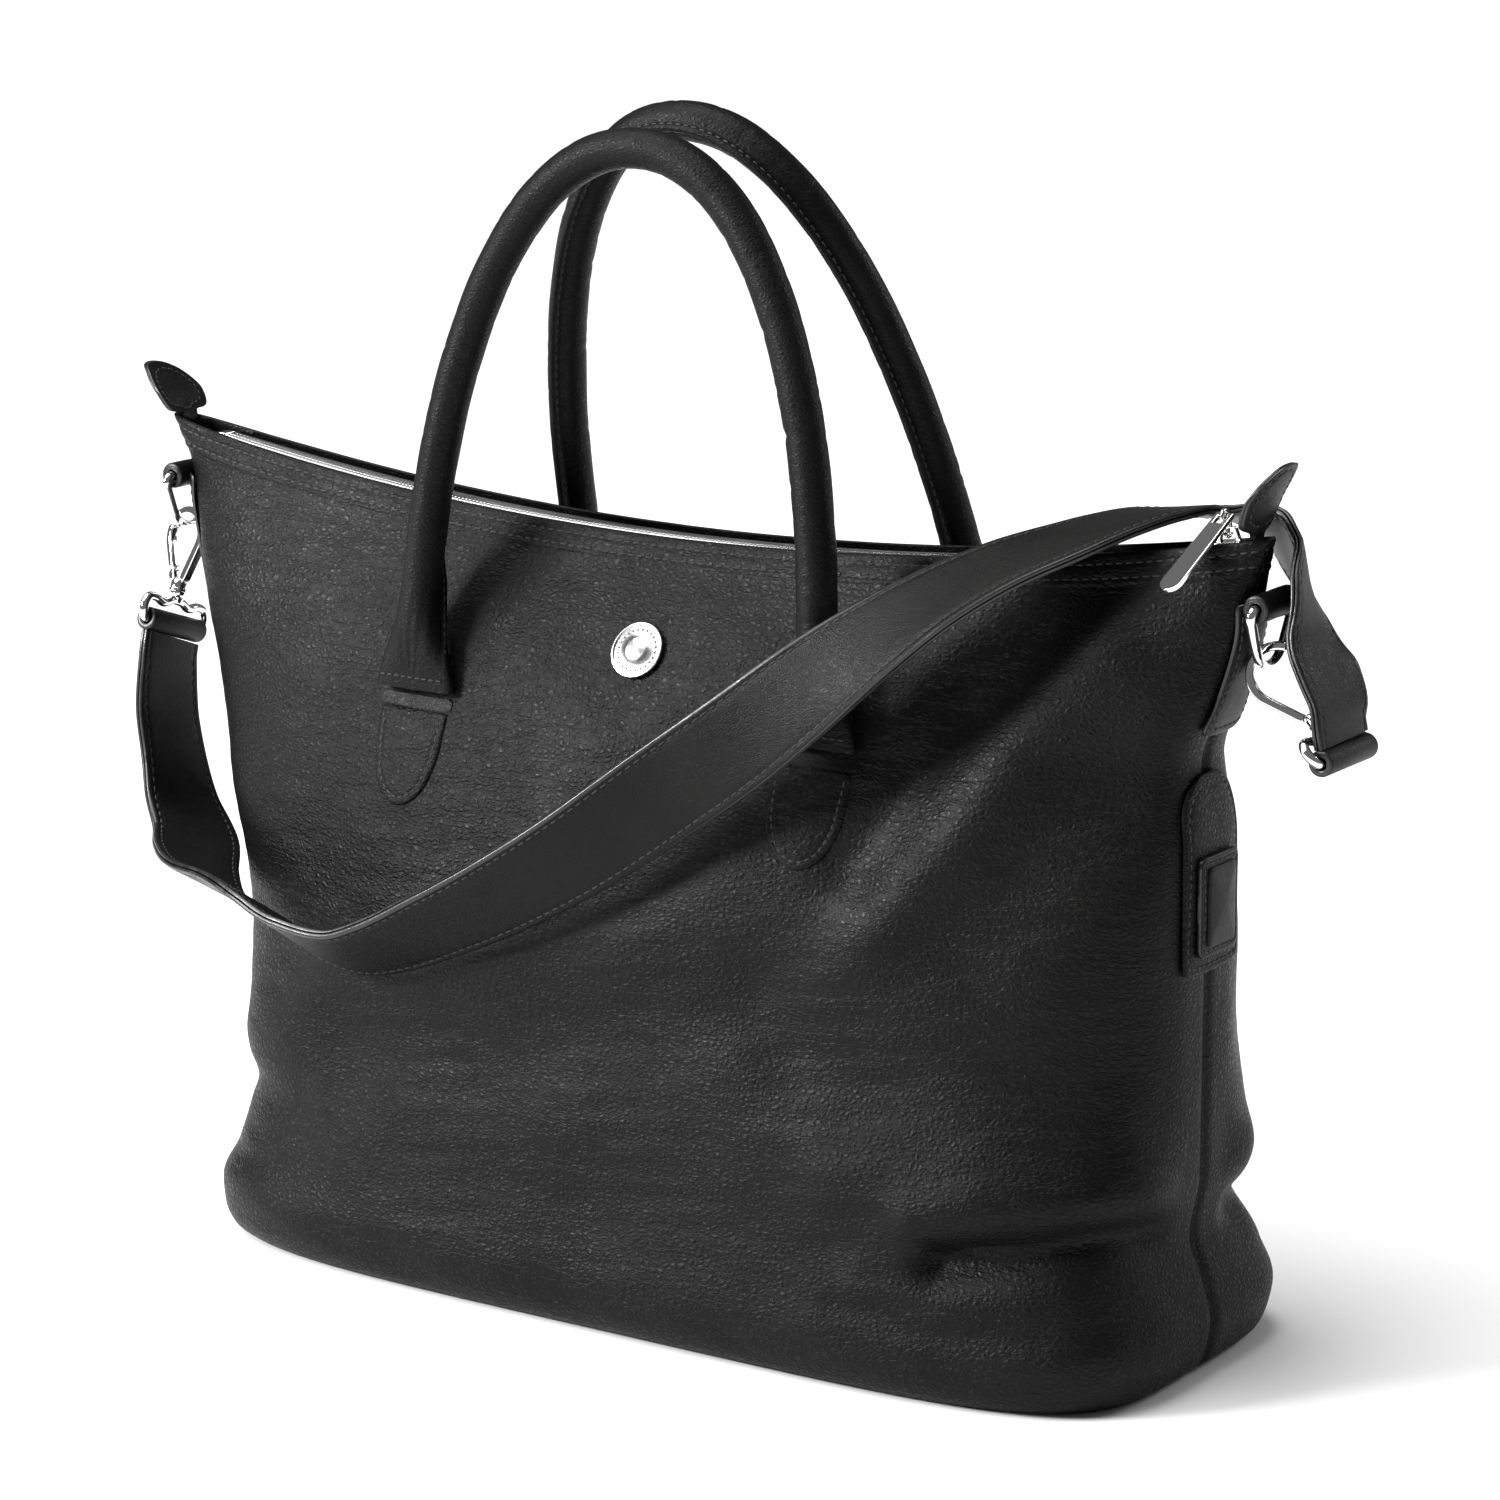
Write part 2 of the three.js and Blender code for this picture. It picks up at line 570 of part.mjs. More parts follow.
function buildEnd(name, side) {
  // the tab that closes the mouth's end stands up and leans out
  const tabX = LEVELS.at(-1)[name] - side * (LEATHER + 6);
  const rings = ZIP_TABS[name].map(([rise, out, half]) => {
    const x = tabX + side * out;
    const z = TOP + rise;
    return [-1, -0.5, 0.5, 1]
      .map((k) => V(x - side * 2.5 * k * k, k * half, z))
      .concat([1, 0.5, -0.5, -1].map((k) => V(x - side * (2.5 * k * k - 2.6), k * half, z)));
  });
  add(`${name}_zip_tab`, loft(rings), BLACK);

  // chape: a leather roll round the ring's bar, with its tail sewn down the seam
  const x = rollX(side);
  const roll = bar(V(x, -ROLL_HALF, ROLL_HEIGHT), V(x, ROLL_HALF, ROLL_HEIGHT), ROLL_RADIUS);
  const bore = bar(V(x, -20, ROLL_HEIGHT), V(x, 20, ROLL_HEIGHT), RING_WIRE + 0.6);
  const tail = endPatch(side, [[254, 13.5], [265, 12.5], [290, 11], [ROLL_HEIGHT, 11]], 1.5, 1.5, 6);
  add(`${name}_chape`, geometryOf(solid(roll).add(solid(tail)).subtract(solid(bore))), BLACK);

  const tabRows = [[162, 19], [166, 20.5], [210, 20.5], [226, 19], [234, 13], [237, 6]];
  add(`${name}_side_tab`, endPatch(side, tabRows, 0.5, 2.2), BLACK);
  const padRows = [[168, 12], [171, 14.5], [204, 14.5], [207, 12]];
  add(`${name}_side_pad`, endPatch(side, padRows, 3.1, 3.4), BLACK);

  // ring: a wire with a straight bar in the roll and a narrow round bottom
  const ringHalf = ROLL_HALF + 3;
  const bottomRound = 8.6;
  const right = [[ringHalf - 3, 0], [ringHalf - 0.8, -0.9], [ringHalf, -3], [ringHalf - 1.2, -6]];
  for (let k = 0; k <= 4; k++) {
    const a = (-0.35 * Math.PI * k) / 4 - 0.15 * Math.PI;
    right.push([bottomRound * Math.cos(a) + 1.5 * (1 - k / 4), -RING_DROP + bottomRound * (1 + Math.sin(a))]);
  }
  const left = right.slice(0, -1).reverse().map(([y, z]) => [-y, z]);
  const path = [...right, ...left].map(([y, z]) => V(0, y, z));
  const ring = wireLoop(path, V(1, 0, 0), RING_WIRE, 6).rotateY(-RING_LEAN[name]);
  add(`${name}_ring`, ring.translate(x, 0, ROLL_HEIGHT), CHROME);
}

// A snap hook in its own frame: it hangs down -Z, its teardrop lies in the XZ plane with the
// gate on +X, and below its neck is the eye whose bar lies along Y.
const HOOK_ROUND = 7; // how far the teardrop's round is below the frame's origin
const HOOK_INNER = 9;
const HOOK_RIM = 3.4;
const NECK_END = -33;
const EYE_BAR = -45.5;
const WIRE_IN_HOOK = [-0.5, 0, -2]; // where the ring's wire lies
const GATE_LOW = -21.2;
const GATE_PIVOT = [5, 0, -24.6];

// Stands a plate drawn in the XY plane up in the XZ plane.
const upright = (geometry) => geometry.rotateX(Math.PI / 2);

function teardrop(radius, tipHalf, tipHeight) {
  const shape = new THREE.Shape();
  shape.absarc(0, -HOOK_ROUND, radius, -0.35, Math.PI + 0.35, false);
  shape.lineTo(-tipHalf, tipHeight);
  shape.lineTo(tipHalf, tipHeight);
  shape.closePath();
  return shape;
}

function hookPieces() {
  const outer = solid(upright(plate(teardrop(HOOK_INNER + HOOK_RIM, 4.6, NECK_END + 4), HOOK_THICK, 10)));
  const inner = solid(upright(plate(teardrop(HOOK_INNER, 1.8, NECK_END + 8.5), HOOK_THICK + 2, 10)));
  const rim = outer.subtract(inner);
  const neck = solid(bar(V(0, 0, NECK_END + 6.5), V(0, 0, NECK_END), 3.6));
  const stemBore = solid(bar(V(0, 0, NECK_END + 3), V(0, 0, NECK_END - 1), 2));
  const headSpace = solid(bar(V(0, 0, NECK_END + 5.2), V(0, 0, NECK_END + 2.4), 2.9));
  const gateSpace = solid(block([20, 20, 19.8], [11.2, 0, -12]));
  const slot = solid(block([14, 3, 8], [9.6, 0, -25]));
  const pinHole = solid(pinAt(GATE_PIVOT, 12, 0.95));
  const body = rim.add(neck).subtract(stemBore).subtract(headSpace)
    .subtract(gateSpace).subtract(slot).subtract(pinHole);

  const gateReach = solid(block([20, 4.6, 18.2], [11.6, 0, -12.1]));
  const tang = solid(block([3.2, 1.8, 5], [GATE_PIVOT[0] + 0.2, -0.45, GATE_LOW - 1.6]));
  const knuckle = solid(pinAt([GATE_PIVOT[0], -0.45, GATE_PIVOT[2]], 1.8, 1.9));
  const gate = rim.intersect(gateReach).add(tang).add(knuckle).subtract(pinHole);

  const pin = pinAt(GATE_PIVOT, HOOK_THICK, 0.65);
  const coil = solid(pinAt([GATE_PIVOT[0], 0.95, GATE_PIVOT[2]], 0.6, 1.8)).subtract(pinHole);
  return { body: geometryOf(body), gate: geometryOf(gate), pin, coil: geometryOf(coil) };
}

function pinAt([x, y, z], length, radius) {
  return bar(V(x, y - length / 2, z), V(x, y + length / 2, z), radius, 10);
}

// The swivel eye: a headed stem in the hook's neck, and a wavy loop with a straight bar.
function eyeGeometry() {
  const half = STRAP_WIDTH / 2 + 2.6;
  const right = [[3, 10], [9, 8.2], [15, 9.6], [half - 2, 9], [half, 5.6], [half - 0.6, 2], [half - 3, 0]];
  const left = right.map(([y, z]) => [-y, z]).reverse();
  const path = [...right, ...left].map(([y, z]) => V(0, y, EYE_BAR + z));
  const loop = solid(wireLoop(path, V(1, 0, 0), 2, 6));
  const stem = solid(bar(V(0, 0, NECK_END + 3.2), V(0, 0, EYE_BAR + 11), 1.6));
  const head = solid(bar(V(0, 0, NECK_END + 4.8), V(0, 0, NECK_END + 2.8), 2.4));
  const collar = solid(bar(V(0, 0, NECK_END - 0.4), V(0, 0, EYE_BAR + 10.5), 3));
  return geometryOf(loop.add(stem).add(head).add(collar));
}

// How each end's hook hangs from its ring: the turns of its own axis about X and Y, and the
// turn of the hook and of the eye about that axis.
const HOOK_POSE = {
  left: { aboutX: -0.33, aboutY: -0.02, hookTurn: 2.9, eyeTurn: 0.05 },
  right: { aboutX: 0, aboutY: -0.8, hookTurn: 0.3, eyeTurn: 0 },
};

function hookMatrix(name, turn) {
  const pose = HOOK_POSE[name];
  const side = name === "left" ? -1 : 1;
  const hang = new THREE.Matrix4().makeRotationX(pose.aboutX);
  hang.multiply(new THREE.Matrix4().makeRotationY(pose.aboutY));
  const hooked = hang.clone().multiply(new THREE.Matrix4().makeRotationZ(pose.hookTurn));
  const wire = V(...WIRE_IN_HOOK).applyMatrix4(hooked);
  const lean = RING_LEAN[name];
  const foot = V(rollX(side) + RING_DROP * Math.sin(lean), 0, ROLL_HEIGHT - RING_DROP * Math.cos(lean));
  const origin = foot.sub(wire);
  return hang.multiply(new THREE.Matrix4().makeRotationZ(turn)).setPosition(origin);
}

function buildHook(name) {
  const pieces = hookPieces();
  const inHook = hookMatrix(name, HOOK_POSE[name].hookTurn);
  const inEye = hookMatrix(name, HOOK_POSE[name].eyeTurn);
  add(`${name}_hook_body`, pieces.body.applyMatrix4(inHook), CHROME);
  add(`${name}_hook_gate`, pieces.gate.applyMatrix4(inHook), CHROME);
  add(`${name}_gate_pin`, pieces.pin.applyMatrix4(inHook), CHROME);
  add(`${name}_gate_spring`, pieces.coil.applyMatrix4(inHook), CHROME);
  add(`${name}_strap_eye`, eyeGeometry().applyMatrix4(inEye), CHROME);

  const roll = solid(bar(V(0, -STRAP_WIDTH / 2, EYE_BAR), V(0, STRAP_WIDTH / 2, EYE_BAR), 5));
  const bore = solid(bar(V(0, -STRAP_WIDTH, EYE_BAR), V(0, STRAP_WIDTH, EYE_BAR), 2.6));
  add(`${name}_strap_fold`, geometryOf(roll.subtract(bore)).applyMatrix4(inEye), BLACK);
}

// ---------------------------------------------------------------- shoulder strap
// The strap's route from the left eye round the front to the right eye: each row is a point
// of its middle line and the direction of its width there.
const STRAP_ROUTE = [
  [-273.8, -20.5, 213, 0, 0.955, -0.3],
  [-272.5, -22, 203, 0.03, 0.965, -0.25],
  [-267, -25, 186, 0.05, 0.97, -0.18],
  [-258, -31, 171, 0.12, 0.97, -0.13],
  [-242, -42, 159, 0.3, 0.95, -0.15],
  [-227, -60, 154, 0.42, 0.83, -0.35],
  [-206, -79, 152, 0.45, 0.72, -0.5],
  [-180, -91, 152, 0.42, 0.7, -0.57],
  [-160, -98, 149, 0.3, 0.76, -0.55],
  [-140, -101, 142, 0.1, 0.8, -0.58],
  [-116, -102, 140, 0, 0.8, -0.6],
  [-96, -102, 146, 0.05, 0.75, -0.65],
  [-71, -101, 158, 0.15, 0.68, -0.72],
  [-43, -99, 173, 0.22, 0.58, -0.78],
  [-11, -95, 193, 0.35, 0.45, -0.82],
  [28, -87, 222, 0.47, 0.2, -0.86],
  [57, -82, 244, 0.52, 0, -0.85],
  [82, -76, 265, 0.6, -0.22, -0.76],
  [107, -67, 286, 0.68, -0.48, -0.54],
  [129, -56, 303, 0.68, -0.63, -0.36],
  [148, -42, 315, 0.66, -0.7, -0.24],
  [165, -26, 323, 0.7, -0.69, -0.12],
  [176, -10, 328, 0.76, -0.63, 0],
  [186, 7, 331, 0.8, -0.57, 0.1],
  [196, 22, 331, 0.78, -0.6, 0.2],
  [207, 29, 330, 0.8, -0.6, 0.15],
  [219, 31, 327, 0.8, -0.6, 0.1],
  [231, 28, 321, 0.75, -0.65, 0.1],
  [241, 21, 315, 0.6, -0.8, 0],
  [248, 13, 306, 0.35, -0.93, 0],
  [254, 8, 292, 0.1, -0.99, 0],
  [261.5, 4, 281, -0.04, -0.99, -0.06],
  [267.5, 1.4, 270, -0.03, -0.99, -0.03],
];

function barMiddle(name) {
  return V(0, 0, EYE_BAR).applyMatrix4(hookMatrix(name, HOOK_POSE[name].eyeTurn));
}

function buildStrap() {
  const rows = STRAP_ROUTE.map(([x, y, z, ...w]) => ({ at: V(x, y, z), wide: V(...w).normalize() }));
  for (const [name, place] of [["left", 0], ["right", rows.length]]) {
    const middle = barMiddle(name);
    const near = rows[place === 0 ? 0 : rows.length - 1].at;
    const way = V(0, name === "left" ? 1 : -1, 0);
    const barWay = way.transformDirection(hookMatrix(name, HOOK_POSE[name].eyeTurn));
    const away = near.clone().sub(middle);
    away.addScaledVector(barWay, -away.dot(barWay)).normalize();
    const ends = [5.4, 12].map((d) => ({ at: middle.clone().addScaledVector(away, d), wide: barWay }));
    rows.splice(place === 0 ? 0 : rows.length, 0, ...(place === 0 ? ends : ends.reverse()));
  }
  const line = new THREE.CatmullRomCurve3(rows.map((r) => r.at));
  const widths = new THREE.CatmullRomCurve3(rows.map((r) => r.wide));
  const steps = 54;
  for (const [name, layer] of [["strap_face", 1], ["strap_backing", -1]]) {
    const grid = (lift) => Array.from({ length: steps + 1 }, (_, i) => {
      const t = i / steps;
      const along = line.getTangent(t);
      const wide = widths.getPoint(t);
      wide.addScaledVector(along, -wide.dot(along)).normalize();
      const out = along.clone().cross(wide).multiplyScalar(-layer * (GAP / 2 + lift));
      return [-1, 0, 1].map((w) => line.getPoint(t).add(out).addScaledVector(wide, (w * STRAP_WIDTH) / 2));
    });
    add(name, gridSolid(grid(STRAP_PLY), grid(0)), BLACK);
  }
}

// ---------------------------------------------------------------- the whole bag
buildShell();
buildZip();
buildHandle("front", HANDLES.front);
buildHandle("back", HANDLES.back);
buildMedallion();
for (const [name, side] of [["left", -1], ["right", 1]]) {
  buildEnd(name, side);
  buildHook(name);
}
buildStrap();

export default bag;
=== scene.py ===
"""A zip-top travel tote in black pebbled leather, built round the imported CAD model.

Lengths in this file are millimetres; make() turns them into metres.  +Z is up, X runs along
the bag and -Y is its front.
"""
import json
import math

import bmesh
import bpy
import numpy as np
from mathutils import Matrix, Vector

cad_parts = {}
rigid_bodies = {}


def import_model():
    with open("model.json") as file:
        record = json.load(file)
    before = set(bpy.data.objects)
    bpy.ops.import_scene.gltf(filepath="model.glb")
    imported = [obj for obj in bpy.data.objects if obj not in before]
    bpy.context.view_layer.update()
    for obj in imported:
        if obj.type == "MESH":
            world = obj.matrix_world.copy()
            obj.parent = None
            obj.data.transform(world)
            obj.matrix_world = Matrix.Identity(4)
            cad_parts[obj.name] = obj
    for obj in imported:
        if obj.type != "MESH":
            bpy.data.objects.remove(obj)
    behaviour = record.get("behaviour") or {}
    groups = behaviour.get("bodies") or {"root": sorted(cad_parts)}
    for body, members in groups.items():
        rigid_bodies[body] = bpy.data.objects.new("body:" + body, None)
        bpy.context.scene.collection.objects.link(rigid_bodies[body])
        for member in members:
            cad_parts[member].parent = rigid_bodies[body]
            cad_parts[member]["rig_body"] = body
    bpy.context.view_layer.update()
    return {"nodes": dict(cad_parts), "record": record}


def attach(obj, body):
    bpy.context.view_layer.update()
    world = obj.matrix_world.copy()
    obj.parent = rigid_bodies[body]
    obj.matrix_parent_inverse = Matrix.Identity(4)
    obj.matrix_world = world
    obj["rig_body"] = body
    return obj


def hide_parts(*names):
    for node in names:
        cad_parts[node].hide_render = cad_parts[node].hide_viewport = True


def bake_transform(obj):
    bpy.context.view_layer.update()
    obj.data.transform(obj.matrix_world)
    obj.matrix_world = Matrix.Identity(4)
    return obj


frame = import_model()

MM = 0.001
rng = np.random.default_rng(11)

# ------------------------------------------------------------------ sizes shared with the CAD
LEVELS = np.array([
    # height, left end, right end, half depth, squareness
    (0.6, -214, 214, 89, 4.6),
    (4, -218, 218, 93, 4.5),
    (11, -221, 221, 96, 4.4),
    (22, -222, 223, 97, 4.3),
    (38, -216, 219, 94, 4),
    (55, -212, 213, 91, 4),
    (80, -214, 217, 89, 3.6),
    (120, -219, 217, 84, 3.3),
    (165, -228, 217, 76, 3.2),
    (210, -240, 217, 65, 3.2),
    (240, -249, 214, 55, 3.2),
    (265, -257, 223, 45, 3.2),
    (290, -264, 231, 33, 3.2),
    (310, -270, 236, 22, 3.2),
    (329, -281, 240, 13, 3.2),
])
TOP = 329.0
LIP_SAG = 25.0
SEAM_GAP = 0.15
WALL = 2.2
MOUTH_DEPTH = 13.0  # half the mouth's width at its middle
MOUTH_MIDDLE = -20.5
MOUTH_HALF = 260.5
HANDLE_SPAN = 95.0
FOOT_HEIGHT = 238.0
HANDLES = {
    "front": {"sign": -1, "middle": -20.5, "rise": 221, "lean": 0.1, "drift": 0.0, "depth": 54.94},
    "back": {"sign": 1, "middle": -5.0, "rise": 227, "lean": 0.18, "drift": -0.11, "depth": 54.64},
}
# Height above the foot's bottom, half width, half depth and squareness of a handle's foot.
FOOT_ROWS = np.array([
    (1, 18.5, 2.5, 4),
    (7, 17.5, 3.4, 3.6),
    (16, 14, 5.6, 2.8),
    (26, 10.4, 7.4, 2.2),
    (36, 8, 8, 2),
])
MEDALLION_X = -17.0
MEDALLION_HEIGHT = 263.0
MEDALLION_RADIUS = 11.6
ZIP_DROP = 3.0
ZIP_LEFT = -232.0
ZIP_RIGHT = 250.0
ZIP_RADIUS = (MOUTH_HALF**2 + LIP_SAG**2) / (2 * LIP_SAG)
SIDES = {"left": -1, "right": 1}
ROLL_X = {"left": -274.0, "right": 240.3}
ROLL_HEIGHT = 304.0
ROLL_RADIUS = 5.4
ROLL_HALF = 13.5
RING_DROP = 23.0
RING_LEAN = {"left": -0.08, "right": -0.03}
RING_WIRE = 2.0
# Height above the mouth, reach outwards and half width of the tabs at the mouth's ends.
ZIP_TABS = {
    "left": [(-3, 0, 3), (0.5, 0.5, 3.5), (2, 3, 13), (9, 8, 13.5), (17, 16, 9), (21, 22, 4)],
    "right": [(-3, 0, 3), (0.5, 0.5, 3.5), (4, 1, 13), (14, 5, 13.5), (24, 11, 9), (29, 14, 4)],
}
HOOK_ROUND = 7.0
HOOK_INNER = 9.0
HOOK_RIM = 3.4
HOOK_THICK = 4.4
NECK_END = -33.0
EYE_BAR = -45.5
WIRE_IN_HOOK = (-0.5, 0, -2)
HOOK_POSE = {  # turns about X and Y, then of the hook and of the eye about their own axis
    "left": (-0.33, -0.02, 2.9, 0.05),
    "right": (0.0, -0.8, 0.3, 0.0),
}
STRAP_WIDTH = 38.0
STRAP_ROUTE = [
    (-273.8, -20.5, 213, 0, 0.955, -0.3),
    (-272.5, -22, 203, 0.03, 0.965, -0.25),
    (-267, -25, 186, 0.05, 0.97, -0.18),
    (-258, -31, 171, 0.12, 0.97, -0.13),
    (-242, -42, 159, 0.3, 0.95, -0.15),
    (-227, -60, 154, 0.42, 0.83, -0.35),
    (-206, -79, 152, 0.45, 0.72, -0.5),
    (-180, -91, 152, 0.42, 0.7, -0.57),
    (-160, -98, 149, 0.3, 0.76, -0.55),
    (-140, -101, 142, 0.1, 0.8, -0.58),
    (-116, -102, 140, 0, 0.8, -0.6),
    (-96, -102, 146, 0.05, 0.75, -0.65),
    (-71, -101, 158, 0.15, 0.68, -0.72),
    (-43, -99, 173, 0.22, 0.58, -0.78),
    (-11, -95, 193, 0.35, 0.45, -0.82),
    (28, -87, 222, 0.47, 0.2, -0.86),
    (57, -82, 244, 0.52, 0, -0.85),
    (82, -76, 265, 0.6, -0.22, -0.76),
    (107, -67, 286, 0.68, -0.48, -0.54),
    (129, -56, 303, 0.68, -0.63, -0.36),
    (148, -42, 315, 0.66, -0.7, -0.24),
    (165, -26, 323, 0.7, -0.69, -0.12),
    (176, -10, 328, 0.76, -0.63, 0),
    (186, 7, 331, 0.8, -0.57, 0.1),
    (196, 22, 331, 0.78, -0.6, 0.2),
    (207, 29, 330, 0.8, -0.6, 0.15),
    (219, 31, 327, 0.8, -0.6, 0.1),
    (231, 28, 321, 0.75, -0.65, 0.1),
    (241, 21, 315, 0.6, -0.8, 0),
    (248, 13, 306, 0.35, -0.93, 0),
    (254, 8, 292, 0.1, -0.99, 0),
    (261.5, 4, 281, -0.04, -0.99, -0.06),
    (267.5, 1.4, 270, -0.03, -0.99, -0.03),
]

# ------------------------------------------------------------------ camera, light and floor
scene = bpy.context.scene
camera_data = bpy.data.cameras.new("camera")
camera_data.sensor_width = 36
camera_data.lens = 120.9
camera_data.clip_end = 60
camera = bpy.data.objects.new("camera", camera_data)
camera.location = (1.0854, -1.6242, 0.6728)
camera.rotation_euler = (math.pi / 2 - 0.22877, 0, 0.58511)
scene.collection.objects.link(camera)
scene.camera = camera
scene.view_settings.view_transform = "Standard"


def aim(obj, place, target):
    obj.location = place
    obj.rotation_euler = (Vector(target) - Vector(place)).to_track_quat("-Z", "Y").to_euler()


def softbox(name, place, target, width, height, power):
    data = bpy.data.lights.new(name, "AREA")
    data.shape = "RECTANGLE"
    data.size, data.size_y, data.energy = width, height, power
    light = bpy.data.objects.new(name, data)
    aim(light, place, target)
    scene.collection.objects.link(light)


softbox("key", (-1.7, -1.8, 1.3), (-0.1, 0, 0.28), 0.9, 0.6, 120)
softbox("back", (1.3, 1.9, 1.3), (0, 0, 0.2), 1.0, 0.6, 16)
sun = bpy.data.lights.new("overhead", "SUN")
sun.energy, sun.angle = 3.7, 0.9
sun_object = bpy.data.objects.new("overhead", sun)
aim(sun_object, (-0.7, -0.5, 2.2), (0, 0, 0))
scene.collection.objects.link(sun_object)
world = bpy.data.worlds.new("studio")
scene.world = world
world.use_nodes = True
world.node_tree.nodes["Background"].inputs["Color"].default_value = (1, 1, 1, 1)
world.node_tree.nodes["Background"].inputs["Strength"].default_value = 0.16


# ------------------------------------------------------------------ materials
class Nodes:
    """A material's node tree, with short calls for the nodes used here."""

    def __init__(self, name):
        self.material = bpy.data.materials.new(name)
        self.material.use_nodes = True
        self.tree = self.material.node_tree
        self.shader = self.tree.nodes["Principled BSDF"]
        self.place = self.node("ShaderNodeTexCoord").outputs["Object"]

    def node(self, kind, settings=None, **inputs):
        n = self.tree.nodes.new(kind)
        for key, value in (settings or {}).items():
            setattr(n, key, value)
        for key, value in inputs.items():
            self.set(n, key.replace("_", " "), value)
        return n

    def set(self, n, key, value):
        socket = n.inputs[int(key)] if key.isdigit() else n.inputs[key]
        if isinstance(value, bpy.types.NodeSocket):
            self.tree.links.new(value, socket)
        else:
            socket.default_value = value

    def stretch(self, scale):
        n = self.node("ShaderNodeMapping", Vector=self.place)
        n.inputs["Scale"].default_value = scale
        return n.outputs["Vector"]

    def noise(self, scale, detail=3, rough=0.55, vector=None):
        n = self.node("ShaderNodeTexNoise", Vector=vector or self.place, Scale=scale,
                      Detail=detail, Roughness=rough)
        return n.outputs["Fac"]

    def ramp(self, value, low, high, to_low=0.0, to_high=1.0):
        n = self.node("ShaderNodeMapRange", {"interpolation_type": "SMOOTHSTEP"}, Value=value)
        for key, v in (("From Min", low), ("From Max", high), ("To Min", to_low), ("To Max", to_high)):
            n.inputs[key].default_value = v
        return n.outputs["Result"]

    def math(self, operation, a, b=0.0):
        n = self.node("ShaderNodeMath", {"operation": operation})
        self.set(n, "0", a)
        self.set(n, "1", b)
        return n.outputs["Value"]

    def mix(self, factor, a, b):
        n = self.node("ShaderNodeMix", {"data_type": "RGBA"})
        for index, value in ((0, factor), (6, a), (7, b)):
            self.set(n, str(index), value)
        return n.outputs[2]

    def bump(self, height, strength, distance, normal=None):
        n = self.node("ShaderNodeBump", Height=height, Strength=strength, Distance=distance)
        if normal is not None:
            self.tree.links.new(normal, n.inputs["Normal"])
        return n.outputs["Normal"]

    def finish(self, **inputs):
        for key, value in inputs.items():
            self.set(self.shader, key.replace("_", " "), value)
        return self.material


def grey(value, warm=0.0):
    return (value * (1 + warm), value, value * (1 - warm), 1)


def pebbled_leather(name, scale=1.0, depth=1.0):
    n = Nodes(name)
    warp = n.node("ShaderNodeTexNoise", Vector=n.place, Scale=170.0, Detail=2.0)
    moved = n.node("ShaderNodeVectorMath", {"operation": "MULTIPLY_ADD"})
    n.set(moved, "0", warp.outputs["Color"])
    moved.inputs[1].default_value = (0.0021, 0.0021, 0.0016)
    n.set(moved, "2", n.stretch((0.82, 0.9, 1.15)))
    cells = n.node("ShaderNodeTexVoronoi", {"feature": "DISTANCE_TO_EDGE"},
                   Vector=moved.outputs[0], Scale=430.0 * scale)
    small = n.node("ShaderNodeTexVoronoi", {"feature": "DISTANCE_TO_EDGE"},
                   Vector=moved.outputs[0], Scale=960.0 * scale)
    pebble = n.ramp(cells.outputs["Distance"], 0.0, 0.42)
    grain = n.ramp(small.outputs["Distance"], 0.0, 0.35)
    height = n.math("MULTIPLY_ADD", pebble, 1.0)
    n.tree.links.new(n.math("MULTIPLY", grain, 0.3), height.node.inputs[2])
    fine = n.noise(2600.0, 2.0)
    rough_height = n.math("MULTIPLY_ADD", fine, 0.16)
    n.tree.links.new(height, rough_height.node.inputs[2])
    creases = n.noise(26.0, 4.0, 0.6, n.stretch((1.0, 1.0, 5.2)))
    lines = n.math("ABSOLUTE", n.math("SUBTRACT", creases, 0.5))
    crease = n.ramp(lines, 0.0, 0.035)
    patch = n.noise(14.0, 2.0)
    firm = n.ramp(patch, 0.35, 0.65, 0.65, 1.15)
    lumps = n.noise(70.0, 3.0, 0.5, n.stretch((0.7, 0.9, 1.5)))
    base = n.bump(lumps, 0.5 * depth, 0.0011)
    creased = n.bump(crease, 0.5 * depth, 0.00028, base)
    normal = n.bump(n.math("MULTIPLY", rough_height, firm), 0.9 * depth, 0.00024, creased)
    tone = n.mix(pebble, grey(0.0015, 0.05), grey(0.005, 0.04))
    tone = n.mix(n.ramp(patch, 0.3, 0.7), tone, grey(0.0035, 0.02))
    gloss = n.ramp(pebble, 0.0, 1.0, 0.5, 0.33)
    gloss = n.math("ADD", gloss, n.ramp(patch, 0.3, 0.7, -0.03, 0.05))
    return n.finish(Base_Color=tone, Roughness=gloss, Normal=normal, Specular_IOR_Level=0.12)


def smooth_leather(name, tone_level=0.004, gloss_level=0.4):
    n = Nodes(name)
    cells = n.node("ShaderNodeTexVoronoi", {"feature": "DISTANCE_TO_EDGE"},
                   Vector=n.stretch((0.9, 0.9, 1.1)), Scale=1150.0)
    pore = n.ramp(cells.outputs["Distance"], 0.0, 0.3)
    wrinkles = n.noise(60.0, 5.0, 0.62, n.stretch((1.0, 2.2, 3.0)))
    line = n.ramp(n.math("ABSOLUTE", n.math("SUBTRACT", wrinkles, 0.5)), 0.0, 0.04)
    cloudy = n.noise(35.0, 3.0)
    base = n.bump(line, 0.3, 0.0002)
    lumps = n.bump(n.noise(160.0, 3.0), 0.25, 0.0004, base)
    normal = n.bump(pore, 0.5, 0.00016, lumps)
    tone = n.mix(n.ramp(cloudy, 0.3, 0.7), grey(tone_level * 0.7, 0.03), grey(tone_level * 1.3, 0.05))
    gloss = n.ramp(cloudy, 0.3, 0.7, gloss_level - 0.05, gloss_level + 0.07)
    return n.finish(Base_Color=tone, Roughness=gloss, Normal=normal, Specular_IOR_Level=0.14)


